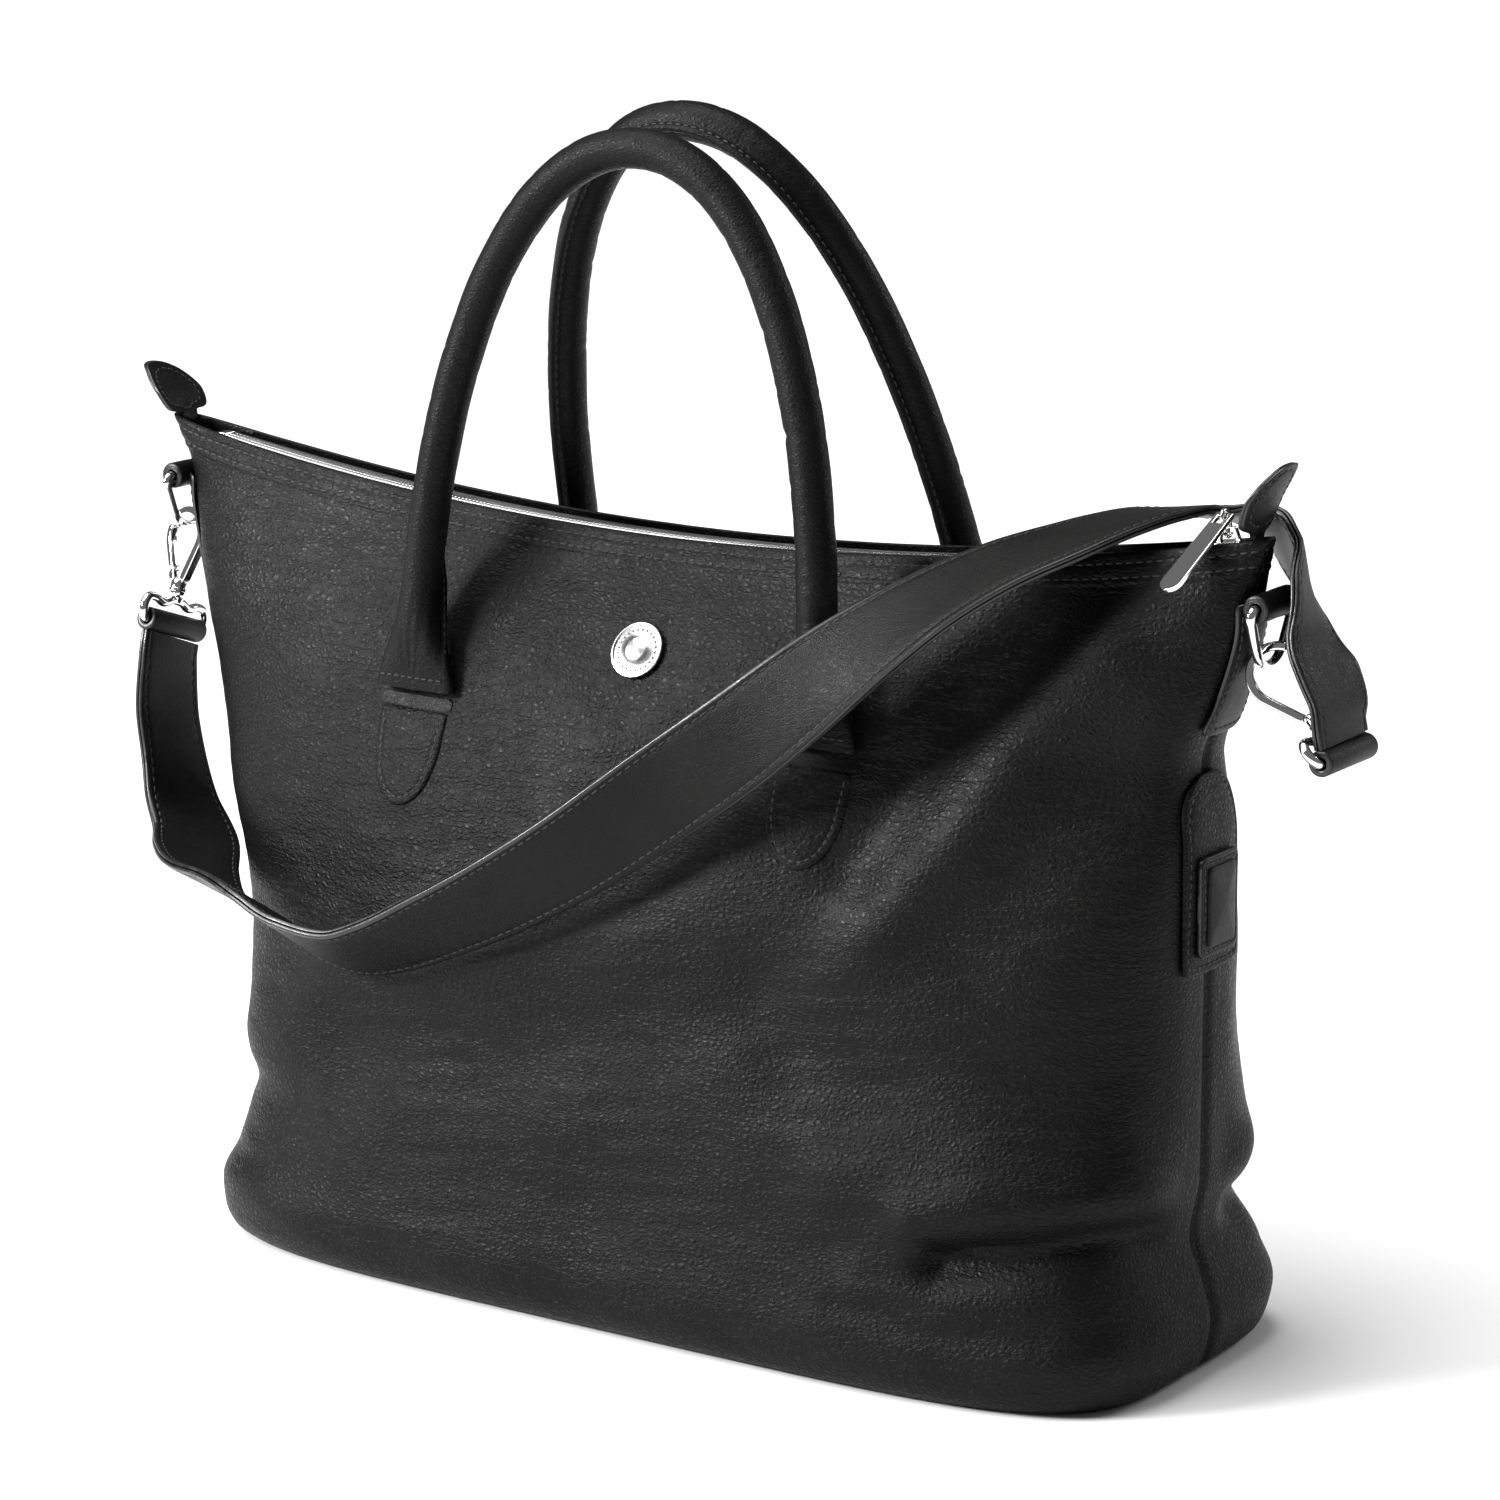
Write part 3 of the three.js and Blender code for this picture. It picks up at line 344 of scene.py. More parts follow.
def edge_paint(name):
    n = Nodes(name)
    normal = n.bump(n.noise(420.0, 3.0, 0.6), 0.35, 0.0004)
    tone = n.mix(n.noise(90.0, 2.0), grey(0.004), grey(0.009, 0.05))
    return n.finish(Base_Color=tone, Roughness=n.ramp(n.noise(150.0), 0.3, 0.7, 0.26, 0.42),
                    Normal=normal, Specular_IOR_Level=0.5)


def thread(name):
    n = Nodes(name)
    twist = n.node("ShaderNodeTexWave", {"bands_direction": "DIAGONAL"}, Vector=n.place,
                   Scale=1500.0, Distortion=0.6, Detail=1.0)
    tone = n.mix(twist.outputs["Fac"], grey(0.006), grey(0.03, 0.04))
    return n.finish(Base_Color=tone, Roughness=0.55, Normal=n.bump(twist.outputs["Fac"], 0.5, 0.0002))


def cloth(name, low, high, scale):
    n = Nodes(name)
    waves = [
        n.node("ShaderNodeTexWave", {"bands_direction": axis}, Vector=n.place, Scale=scale,
               Distortion=0.4, Detail=1.0).outputs["Fac"]
        for axis in ("X", "Y", "Z")
    ]
    weave = n.math("MULTIPLY", n.math("MAXIMUM", waves[0], waves[1]), n.math("ADD", waves[2], 0.4))
    tone = n.mix(weave, grey(low, 0.08), grey(high, 0.08))
    return n.finish(Base_Color=tone, Roughness=0.85, Normal=n.bump(weave, 0.6, 0.0003),
                    Sheen_Weight=0.15, Sheen_Roughness=0.5)


def metal(name, level, rough, wear):
    n = Nodes(name)
    smudge = n.noise(55.0, 4.0, 0.6)
    scratch = n.noise(900.0, 2.0, 0.5, n.stretch((1.0, 0.12, 1.0)))
    gloss = n.math("ADD", n.ramp(smudge, 0.35, 0.75, rough, rough + wear),
                   n.ramp(scratch, 0.5, 0.8, 0.0, wear * 0.6))
    tone = n.mix(n.ramp(smudge, 0.3, 0.8), grey(level), grey(level * 0.93, 0.01))
    return n.finish(Base_Color=tone, Metallic=1.0, Roughness=gloss,
                    Normal=n.bump(scratch, 0.03, 0.0001))


def fibre(name, low, high):
    n = Nodes(name)
    strands = n.noise(500.0, 4.0, 0.6, n.stretch((1.0, 0.3, 1.0)))
    return n.finish(Base_Color=n.mix(strands, grey(low, 0.2), grey(high, 0.2)), Roughness=0.9,
                    Normal=n.bump(strands, 0.4, 0.0005))


def floor_material():
    n = Nodes("studio_floor")
    tone = n.mix(n.noise(3.0, 2.0), grey(0.86), grey(0.88))
    return n.finish(Base_Color=tone, Roughness=0.9, Specular_IOR_Level=0.1)


PEBBLED = pebbled_leather("pebbled_leather")
HANDLE_LEATHER = pebbled_leather("handle_leather", 1.25, 0.55)
SMOOTH = smooth_leather("smooth_leather")
PAINT = edge_paint("edge_paint")
THREAD = thread("thread")
TAPE = cloth("zip_tape", 0.006, 0.016, 700.0)
LINING = cloth("lining_cloth", 0.012, 0.03, 520.0)
CHROME = metal("chrome", 0.86, 0.045, 0.05)
NICKEL = metal("satin_nickel", 0.5, 0.2, 0.12)
TEETH = metal("zip_teeth", 0.66, 0.14, 0.1)
BOARD = fibre("fibreboard", 0.1, 0.2)
ROPE = fibre("handle_rope", 0.22, 0.36)

SLOT_MATERIAL = {
    "pebbled_leather": PEBBLED, "smooth_leather": SMOOTH, "lining_cloth": LINING,
    "zip_tape": TAPE, "nickel": NICKEL, "chrome": CHROME, "base_board": BOARD,
    "handle_filling": ROPE,
}

floor = bpy.data.meshes.new("floor")
FLOOR_DROP = 0.0004  # metres below the bag's base
corners = [(x, y, -FLOOR_DROP) for x, y in ((-9, -9), (9, -9), (9, 16), (-9, 16))]
floor.from_pydata(corners, [], [(0, 1, 2, 3)])
floor.materials.append(floor_material())
floor_object = bpy.data.objects.new("floor", floor)
scene.collection.objects.link(floor_object)


# ------------------------------------------------------------------ mesh building
class Build:
    """Points in millimetres, and faces with a material number each."""

    def __init__(self):
        self.points, self.faces, self.kinds, self.count = [], [], [], 0

    def add(self, points, faces, kinds):
        points = np.asarray(points, float).reshape(-1, 3)
        if isinstance(kinds, int):
            kinds = [kinds] * len(faces)
        self.points.append(points)
        start = self.count
        self.faces += [tuple(int(i) + start for i in f) for f in faces]
        self.kinds += list(kinds)
        self.count += len(points)

    def grid(self, rows, kind=0, wrap_rows=False, wrap_columns=False, caps=False, kinds=None):
        """Rows of points; kinds gives a material number for each column."""
        rows = np.asarray(rows, float)
        r, c = rows.shape[:2]
        i = np.arange(r if wrap_rows else r - 1)[:, None]
        j = np.arange(c if wrap_columns else c - 1)[None, :]
        i2, j2 = (i + 1) % r, (j + 1) % c
        quads = np.stack(np.broadcast_arrays(i * c + j, i * c + j2, i2 * c + j2, i2 * c + j), -1)
        faces = quads.reshape(-1, 4).tolist()
        marks = [kind] * len(faces)
        if kinds is not None:
            marks = list(kinds[: quads.shape[1]]) * quads.shape[0]
        if caps:
            faces += [tuple(range(c)), tuple(range((r - 1) * c, r * c))]
            marks += [kind if kinds is None else kinds[0]] * 2
        self.add(rows.reshape(-1, 3), faces, marks)

    def place(self, matrix):
        """Moves everything built so far by a 4x4 matrix whose lengths are millimetres."""
        m = np.array(matrix)
        self.points = [p @ m[:3, :3].T + m[:3, 3] for p in self.points]


def make(name, build, materials, like, replaced=(), sharp=48.0):
    """A visible piece from a Build, riding where the CAD node named by like rides."""
    mesh = bpy.data.meshes.new(name)
    mesh.from_pydata((np.concatenate(build.points) * MM).tolist(), [], build.faces)
    for m in materials:
        mesh.materials.append(m)
    mesh.polygons.foreach_set("material_index", build.kinds)
    work = bmesh.new()
    work.from_mesh(mesh)
    bmesh.ops.remove_doubles(work, verts=work.verts, dist=1e-6)
    bmesh.ops.recalc_face_normals(work, faces=work.faces)
    work.to_mesh(mesh)
    work.free()
    mesh.shade_smooth()
    mesh.set_sharp_from_angle(angle=math.radians(sharp))
    obj = bpy.data.objects.new(name, mesh)
    scene.collection.objects.link(obj)
    if like is not None:
        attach(obj, frame["nodes"][like]["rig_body"])
    if replaced:
        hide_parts(*replaced)
    return obj


def refine(node, name, material, bevel=0.35, rounds=0):
    """A copy of a CAD node with rounded edges, or a smoothed one with rounds of subdivision."""
    source = frame["nodes"][node]
    mesh = source.data.copy()
    mesh.name = name
    work = bmesh.new()
    work.from_mesh(mesh)
    bmesh.ops.remove_doubles(work, verts=work.verts, dist=2e-6)
    if rounds:
        bmesh.ops.join_triangles(work, faces=work.faces, angle_face_threshold=0.6,
                                 angle_shape_threshold=0.9)
    else:
        bmesh.ops.dissolve_limit(work, angle_limit=0.01, verts=work.verts, edges=work.edges)
    bmesh.ops.recalc_face_normals(work, faces=work.faces)
    work.to_mesh(mesh)
    work.free()
    mesh.materials.clear()
    mesh.materials.append(material)
    mesh.shade_smooth()
    obj = bpy.data.objects.new(name, mesh)
    scene.collection.objects.link(obj)
    if rounds:
        m = obj.modifiers.new("round", "SUBSURF")
        m.levels = m.render_levels = rounds
    else:
        mesh.set_sharp_from_angle(angle=math.radians(35))
        m = obj.modifiers.new("edges", "BEVEL")
        m.width, m.segments, m.limit_method = bevel * MM, 2, "ANGLE"
        m.angle_limit = math.radians(35)
        m.harden_normals = True
    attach(obj, source["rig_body"])
    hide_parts(node)
    return obj


def unit(v):
    v = np.asarray(v, float)
    return v / np.maximum(np.linalg.norm(v, axis=-1, keepdims=True), 1e-12)


def smoothstep(low, high, x):
    t = np.clip((np.asarray(x, float) - low) / (high - low), 0, 1)
    return t * t * (3 - 2 * t)


def centripetal(points, per_span, closed=False):
    """Points on a smooth curve through the given ones, per_span to each gap."""
    p = np.asarray(points, float)
    n = len(p)
    out = []
    for i in range(n if closed else n - 1):
        p1, p2 = p[i], p[(i + 1) % n]
        p0 = p[i - 1] if closed or i > 0 else 2 * p[0] - p[1]
        p3 = p[(i + 2) % n] if closed or i + 2 < n else 2 * p[-1] - p[-2]
        d0, d1, d2 = (max(np.linalg.norm(b - a), 1e-4) ** 0.5 for a, b in ((p0, p1), (p1, p2), (p2, p3)))
        t1 = ((p1 - p0) / d0 - (p2 - p0) / (d0 + d1) + (p2 - p1) / d1) * d1
        t2 = ((p2 - p1) / d1 - (p3 - p1) / (d1 + d2) + (p3 - p2) / d2) * d1
        t = (np.arange(per_span) / per_span)[:, None]
        c2, c3 = -3 * p1 + 3 * p2 - 2 * t1 - t2, 2 * p1 - 2 * p2 + t1 + t2
        out.append(p1 + t1 * t + c2 * t**2 + c3 * t**3)
    if not closed:
        out.append(p[-1:])
    return np.concatenate(out)


def along(points, closed=False):
    p = np.asarray(points, float)
    if closed:
        p = np.vstack([p, p[:1]])
    return np.concatenate([[0], np.cumsum(np.linalg.norm(np.diff(p, axis=0), axis=1))])


def evenly(points, pitch, *others, closed=False):
    """The curve, and arrays that go with its points, taken again at an even pitch."""
    s = along(points, closed)
    count = max(2, int(round(s[-1] / pitch)))
    at = np.linspace(0, s[-1], count + (0 if closed else 1), endpoint=not closed)
    result = []
    for array in (points, *others):
        a = np.asarray(array, float)
        if closed:
            a = np.concatenate([a, a[:1]])
        flat = a.reshape(len(a), -1)
        result.append(np.stack([np.interp(at, s, flat[:, k]) for k in range(flat.shape[1])], -1))
    return result if others else result[0]


def tangents(points, closed=False):
    p = np.asarray(points, float)
    if closed:
        return unit(np.roll(p, -1, 0) - np.roll(p, 1, 0))
    return unit(np.gradient(p, axis=0))


def sweep(build, path, u, v, profile, kind=0, kinds=None, closed=False):
    """A section carried along a path; the section is in the directions u and v."""
    path = np.asarray(path, float)
    profile = np.broadcast_to(profile, (len(path), *np.shape(profile)[-2:]))
    u = np.broadcast_to(u, path.shape)
    v = np.broadcast_to(v, path.shape)
    rows = path[:, None] + profile[..., :1] * u[:, None] + profile[..., 1:] * v[:, None]
    build.grid(rows, kind, wrap_rows=closed, wrap_columns=True, caps=not closed, kinds=kinds)


def circle(radius, sides):
    a = 2 * np.pi * np.arange(sides) / sides
    return radius * np.stack([np.cos(a), np.sin(a)], -1)


def rounded_rect(half_w, half_h, radius, steps=4):
    a = np.linspace(0, np.pi / 2, steps + 1)
    corner = radius * np.stack([np.cos(a), np.sin(a)], -1)
    out = []
    for sx, sy, flip in ((1, 1, 0), (-1, 1, 1), (-1, -1, 0), (1, -1, 1)):
        c = corner[::-1] if flip else corner
        out.append(np.array([sx, sy]) * (np.array([half_w - radius, half_h - radius]) + c))
    return np.concatenate(out)


def wire(build, path, across, radius, sides=14, kind=0):
    """A round wire bent into a closed flat loop."""
    t = tangents(path, True)
    u = unit(np.cross(t, across))
    sweep(build, path, u, np.cross(t, u), circle(radius, sides), kind, closed=True)


def lathe(build, profile, centre, axis, sides=32, kinds=None, closed=False):
    """Points (radius, place along the axis) turned round an axis."""
    axis = unit(axis)
    side = unit(np.cross(axis, (0.3, 0.5, 0.81)))
    other = np.cross(axis, side)
    a = 2 * np.pi * np.arange(sides) / sides
    ring = np.cos(a)[:, None] * side + np.sin(a)[:, None] * other
    p = np.asarray(profile, float)
    rows = np.asarray(centre, float) + ring[:, None] * p[None, :, :1] + axis * p[None, :, 1:]
    build.grid(rows, 0, wrap_rows=True, wrap_columns=closed, kinds=kinds)


def stitches(build, path, normals, pitch=4.0, length=3.1, radius=0.42, lift=0.1, kind=0, closed=False):
    """A row of sewn stitches: short rounded bars that lie along a path."""
    p, n = evenly(path, pitch, normals, closed=closed)
    if not closed:
        p, n = (p[1:] + p[:-1]) / 2, (n[1:] + n[:-1]) / 2
    t = tangents(p, closed)
    n = unit(n - (n * t).sum(-1, keepdims=True) * t)
    b = np.cross(t, n)
    steps = np.array([-0.5, -0.4, -0.15, 0.15, 0.4, 0.5]) * length
    wide = np.array([0.25, 0.8, 1, 1, 0.8, 0.25]) * radius
    dip = np.array([-0.9, -0.25, 0, 0, -0.25, -0.9]) * radius + lift
    ring = circle(1.0, 6)
    local = (
        steps[None, :, None, None] * t[:, None, None]
        + (wide[:, None] * ring[None, :, 0])[None, ..., None] * b[:, None, None]
        + (dip[:, None] + wide[:, None] * ring[None, :, 1])[None, ..., None] * n[:, None, None]
    ) + p[:, None, None]
    one = [(i * 6 + j, i * 6 + (j + 1) % 6, (i + 1) * 6 + (j + 1) % 6, (i + 1) * 6 + j)
           for i in range(5) for j in range(6)]
    one += [(0, 1, 2, 3, 4, 5), (30, 31, 32, 33, 34, 35)]
    faces = [tuple(36 * k + i for i in f) for k in range(len(p)) for f in one]
    build.add(local.reshape(-1, 3), faces, kind)


def plaque(build, outline, centre, place, thick, base=0.0, bevel=0.7, crown=0.0, kind=0, edge=0,
           groove=None):
    """A flat piece of leather on a surface: place(a, b, out) gives the surface's points."""
    q = np.asarray(outline, float)
    c = np.asarray(centre, float)
    way = unit(c - q)
    reach = np.linalg.norm(c - q, axis=1)
    shrink = lambda d: q + way * np.minimum(d, 0.9 * reach)[:, None]
    top = base + thick
    rows = [(c + (q - c) * s, base, 0, edge) for s in (0.02, 0.4, 0.8)]
    rows += [(shrink(bevel * 0.5), base, 0, edge), (shrink(0.0), base + bevel * 0.45, 0, edge)]
    rows += [(shrink(0.0), top - bevel * 0.8, 0, edge), (shrink(bevel * 0.3), top - bevel * 0.25, 0, kind)]
    rows += [(shrink(bevel), top, 0.1, kind)]
    if groove:
        rows += [(shrink(groove - 0.9), top, 0.3, kind), (shrink(groove), top - 0.35, 0.3, kind)]
        rows += [(shrink(groove + 0.9), top, 0.35, kind)]
    last = np.linalg.norm(rows[-1][0] - c, axis=1) / reach
    rows += [(c + (q - c) * (last * s)[:, None], top, 1 - s**2, kind) for s in (0.85, 0.65, 0.4, 0.2, 0.02)]
    grid = np.array([place(p[:, 0], p[:, 1], out + crown * k) for p, out, k, _ in rows])
    n = len(q)
    faces, marks = [], []
    for i in range(len(rows) - 1):
        for j in range(n):
            k = (j + 1) % n
            faces.append((i * n + j, i * n + k, (i + 1) * n + k, (i + 1) * n + j))
            marks.append(rows[i][3])
    faces += [tuple(range(n)), tuple(range((len(rows) - 1) * n, len(rows) * n))]
    build.add(grid.reshape(-1, 3), faces, [*marks, edge, kind])


def inset(outline, centre, distance):
    q = np.asarray(outline, float)
    return q + unit(np.asarray(centre, float) - q) * distance


def normals_of(place, a, b, out):
    """The outward direction of a surface given by place(a, b, out)."""
    return unit(place(a, b, out + 1.0) - place(a, b, out - 1.0))


# ------------------------------------------------------------------ the shell's surface
def slopes_of(h, y):
    step = np.diff(h)
    d = np.diff(y) / step
    m = np.zeros(len(y))
    m[0], m[-1] = d[0], d[-1]
    for i in range(1, len(y) - 1):
        if d[i - 1] * d[i] > 0:
            a, b = 2 * step[i] + step[i - 1], step[i] + 2 * step[i - 1]
            m[i] = (a + b) / (a / d[i - 1] + b / d[i])
    return m


LEVEL_SLOPES = [slopes_of(LEVELS[:, 0], LEVELS[:, k]) for k in range(1, 5)]


def level(h):
    """Left end, right end, half depth and squareness of the shell at a height."""
    h = np.clip(h, LEVELS[0, 0], TOP)
    i = np.clip(np.searchsorted(LEVELS[:, 0], h, side="right") - 1, 0, len(LEVELS) - 2)
    step = LEVELS[i + 1, 0] - LEVELS[i, 0]
    t = (h - LEVELS[i, 0]) / step
    out = []
    for k, m in enumerate(LEVEL_SLOPES, start=1):
        y0, y1 = LEVELS[i, k], LEVELS[i + 1, k]
        out.append(
            y0 * (2 * t**3 - 3 * t**2 + 1) + step * m[i] * (t**3 - 2 * t**2 + t)
            + y1 * (3 * t**2 - 2 * t**3) + step * m[i + 1] * (t**3 - t**2)
        )
    return out


def sag(h, u):
    return LIP_SAG * (1 - u**2) * (h / TOP) ** 3


def near_line(x, z, line):
    """Distance of points from a line of points, all in the same plane."""
    best = np.full(np.shape(x), 1e9)
    for (ax, az), (bx, bz) in zip(line[:-1], line[1:]):
        dx, dz = bx - ax, bz - az
        t = np.clip(((x - ax) * dx + (z - az) * dz) / (dx * dx + dz * dz), 0, 1)
        best = np.minimum(best, np.hypot(x - ax - t * dx, z - az - t * dz))
    return best


# Folds of the soft leather: their line in x and z, how wide they are, and how far they
# stand out (or in, below zero).
FRONT_FOLDS = [
    ([(158, 292), (136, 262), (118, 232), (98, 196)], 11, -5.5),
    ([(182, 284), (158, 250), (138, 214), (110, 178)], 13, 4.0),
    ([(200, 240), (180, 205), (150, 175)], 16, -2.5),
    ([(-130, 98), (-60, 104), (0, 122), (55, 142)], 17, -4.5),
    ([(-110, 150), (-30, 152), (40, 168)], 20, 3.5),
    ([(85, 122), (140, 122), (205, 128)], 17, -5.0),
    ([(105, 84), (150, 84), (205, 92)], 12, 3.2),
    ([(150, 55), (178, 60), (222, 68)], 5.5, -8.0),
    ([(140, 72), (176, 79), (222, 87)], 8, 4.5),
    ([(120, 46), (150, 40), (196, 46)], 7, 1.8),
    ([(110, 34), (150, 28), (190, 32)], 4, -1.2),
    ([(-212, 56), (-190, 60), (-160, 66)], 8, -2.5),
    ([(-200, 92), (-170, 100), (-140, 120)], 16, 2.2),
    ([(-60, 300), (-72, 284), (-84, 262)], 8, -2.2),
    ([(-100, 292), (-96, 272), (-92, 250)], 9, 1.2),
    ([(20, 236), (-40, 226), (-80, 232)], 22, 1.6),
]
BACK_FOLDS = [
    ([(-150, 288), (-128, 250), (-112, 205)], 12, -4.5),
    ([(150, 292), (128, 255), (104, 210)], 12, -4.0),
    ([(-120, 110), (0, 118), (120, 112)], 20, -3.5),
    ([(-90, 165), (20, 158), (120, 168)], 22, 3.0),
    ([(-212, 62), (-170, 58), (-130, 66)], 7, -4.0),
    ([(140, 60), (180, 62), (214, 56)], 7, -4.5),
    ([(-190, 84), (-150, 86)], 12, 2.4),
    ([(120, 34), (160, 38), (200, 34)], 6, 1.6),
]
END_FOLDS = [  # line in y and z, the same for both ends
    ([(-100, 68), (-60, 66), (0, 62), (45, 58), (100, 66)], 5.5, -5.5),
    ([(-100, 87), (0, 80), (100, 84)], 8, 3.2),
    ([(-40, 300), (-34, 250), (-42, 205)], 9, -2.2),
    ([(36, 300), (40, 245), (36, 200)], 9, -2.4),
    ([(-60, 150), (-30, 130), (20, 140), (60, 128)], 18, -1.8),
]


def lumps(x, z, seed, size, count=7):
    """Smooth uneven swelling, between about -1 and 1."""
    r = np.random.default_rng(seed)
    total = 0
    for _ in range(count):
        a, f, p = r.uniform(0, 2 * np.pi), r.uniform(0.6, 1.6) * 2 * np.pi / size, r.uniform(0, 6.28)
        total = total + np.sin(f * (x * np.cos(a) + z * np.sin(a)) + p)
    return total / count * 1.6


def quiet(x, z):
    """Less uneven round the riveted medallion's place, on the front and the back alike."""
    near = near_line(x, z, [(MEDALLION_X, MEDALLION_HEIGHT), (MEDALLION_X, MEDALLION_HEIGHT - 1)])
    return smoothstep(10, 30, near)


def fold(x, z, sign):
    """How far the shell's front or back stands out of its plain shape."""
    total = lumps(x, z * 1.3, 3 + sign, 95) * 1.1 + lumps(x, z * 2.2, 9 + sign, 38) * 0.35
    total = total + lumps(x * 0.5, z * 2.4, 21 + sign, 16) * 0.12
    for line, wide, out in FRONT_FOLDS if sign < 0 else BACK_FOLDS:
        total = total + out * np.exp(-0.5 * (near_line(x, z, line) / wide) ** 2)
    return total * quiet(x, z) * smoothstep(2, 16, z)


def end_fold(y, z):
    total = lumps(y, z, 31, 70) * 0.9
    for line, wide, out in END_FOLDS:
        total = total + out * np.exp(-0.5 * (near_line(y, z, line) / wide) ** 2)
    return total * smoothstep(14, 40, np.abs(y)) * smoothstep(2, 16, z)


def hem(h):
    """The turned hem under the mouth: a step, and a groove at each row of stitches."""
    step = 0.55 * smoothstep(315.5, 317, h)
    rows = sum(np.exp(-0.5 * ((h - row) / 0.75) ** 2) for row in HEM_ROWS)
    return step - 0.35 * rows


HEM_ROWS = (324.6, 318.8)


def shell(h, phi, sign, thick=0.0):
    """Points of the shell's outside at level h and angle phi, moved in by thick."""
    left, right, depth, power = level(h)
    c, s = np.cos(phi), np.sin(phi)
    reach = (np.abs(c) ** power + np.abs(s) ** power) ** (-1 / power)
    u, w = c * reach, s * reach
    half = (right - left) / 2
    nx = np.sign(u) * np.abs(u) ** (power - 1) / half
    ny = np.abs(w) ** (power - 1) / depth
    size = np.hypot(nx, ny)
    nx, ny = nx / size, ny / size
    x = (left + right) / 2 + half * u
    y = depth * w
    z = h - sag(h, u)
    fade = 1 - smoothstep(300, 322, h)
    out = fold(x, z, sign) * ny**2 * (0.25 + 0.75 * fade) + end_fold(sign * y, z) * nx**2 * fade
    pinch = np.exp(-((y / 2.6) ** 2)) * (1 - np.exp(-((TOP - h) / 6)))
    out = out + hem(h) - 1.5 * pinch - thick
    deep = sign * (SEAM_GAP + np.maximum(0, y + ny * out))
    return np.stack(np.broadcast_arrays(x + nx * out, deep, z), -1)


def level_from(x, z):
    h, u = np.asarray(z, float), 0.0
    for _ in range(20):
        left, right, depth, power = level(h)
        u = np.minimum(1, np.abs(x - (left + right) / 2) / ((right - left) / 2))
        h = np.minimum(TOP, z + sag(h, u))
    return h, u


def face(sign):
    """The front (-1) or back (+1) as place(x, z, out)."""
    def place(x, z, out):
        h, u = level_from(x, z)
        _, _, depth, power = level(h)
        deep = SEAM_GAP + depth * (1 - u**power) ** (1 / power) + fold(x, z, sign)
        return np.stack(np.broadcast_arrays(x, sign * (deep + out), z), -1)
    return place


def end_face(side):
    """The left (-1) or right (+1) end as place(y, z, out)."""
    def place(y, z, out):
        h, u = np.asarray(z, float), 1.0
        for _ in range(8):
            left, right, depth, power = level(h)
            u = (1 - np.minimum(1, np.abs(y) / depth) ** power) ** (1 / power)
            h = np.minimum(TOP, z + sag(h, u))
        left, right, _, _ = level(h)
        x = (left + right) / 2 + side * u * (right - left) / 2
        return np.stack(np.broadcast_arrays(x + side * out, y, z), -1)
    return place


def lip_height(s):
    return TOP - LIP_SAG + ZIP_RADIUS - np.sqrt(ZIP_RADIUS**2 - s**2)


# ------------------------------------------------------------------ shell, hem and base
def even_angles(count):
    """Angles that put points evenly round half of the shell's plan."""
    phi = np.linspace(0, np.pi, 6000)
    c, s, p = np.cos(phi), np.sin(phi), 3.4
    reach = (np.abs(c) ** p + np.abs(s) ** p) ** (-1 / p)
    length = along(np.stack([218 * c * reach, 85 * s * reach], -1))
    extra = np.array([0.4, 1.0, 1.8, 2.8, 4.2, 6.0])
    last = length[-1]
    at = np.concatenate([[0], extra, np.linspace(8, last - 8, count), last - extra[::-1], [last]])
    return np.interp(at, length, phi)


def build_shell(name, sign):
    fine = 1.0
    angles = even_angles(int(300 / fine))
    heights = np.concatenate([
        [0.6, 1.1, 1.8, 2.7, 4, 5.5, 7.5, 10, 13, 16], np.arange(19, 300, 2.0 * fine),
        np.arange(300, 313, 1.5), np.arange(313, 328, 0.6),
    ])
    rows = [shell(h, angles, sign) for h in heights]
    lip = ((328.5, 0.15), (328.9, 0.6), (TOP, 1.1), (328.9, 1.7), (328.4, 2.3))
    rows += [shell(h, angles, sign, t) for h, t in lip]
    rows += [shell(h, angles, sign, WALL + 0.3) for h in (326, 322, 316)]
    rows += [shell(h, angles, sign, WALL) for h in np.arange(306, 14, -12.0)]
    rows += [shell(h, angles, sign, WALL) for h in (9, 4, 0.6)]
    build = Build()
    build.grid(rows, wrap_rows=True)
    r, c = len(rows), len(angles)
    ends = [tuple(i * c + j for i in range(r)) for j in (0, c - 1)]
    build.faces += ends
    build.kinds += [0, 0]
    panel = f"{name}_panel"
    make(f"{name}_shell", build, [PEBBLED], panel, [panel], sharp=60)

    sewn = Build()
    for h in HEM_ROWS:
        phi = np.linspace(0.05, np.pi - 0.05, 900)
        path = shell(h, phi, sign)
        outward = path - shell(h, phi, sign, 1.0)
        stitches(sewn, path, outward, pitch=4.2, length=3.2, radius=0.4, lift=0.12)
    make(f"{name}_hem_stitching", sewn, [THREAD], f"{name}_panel")


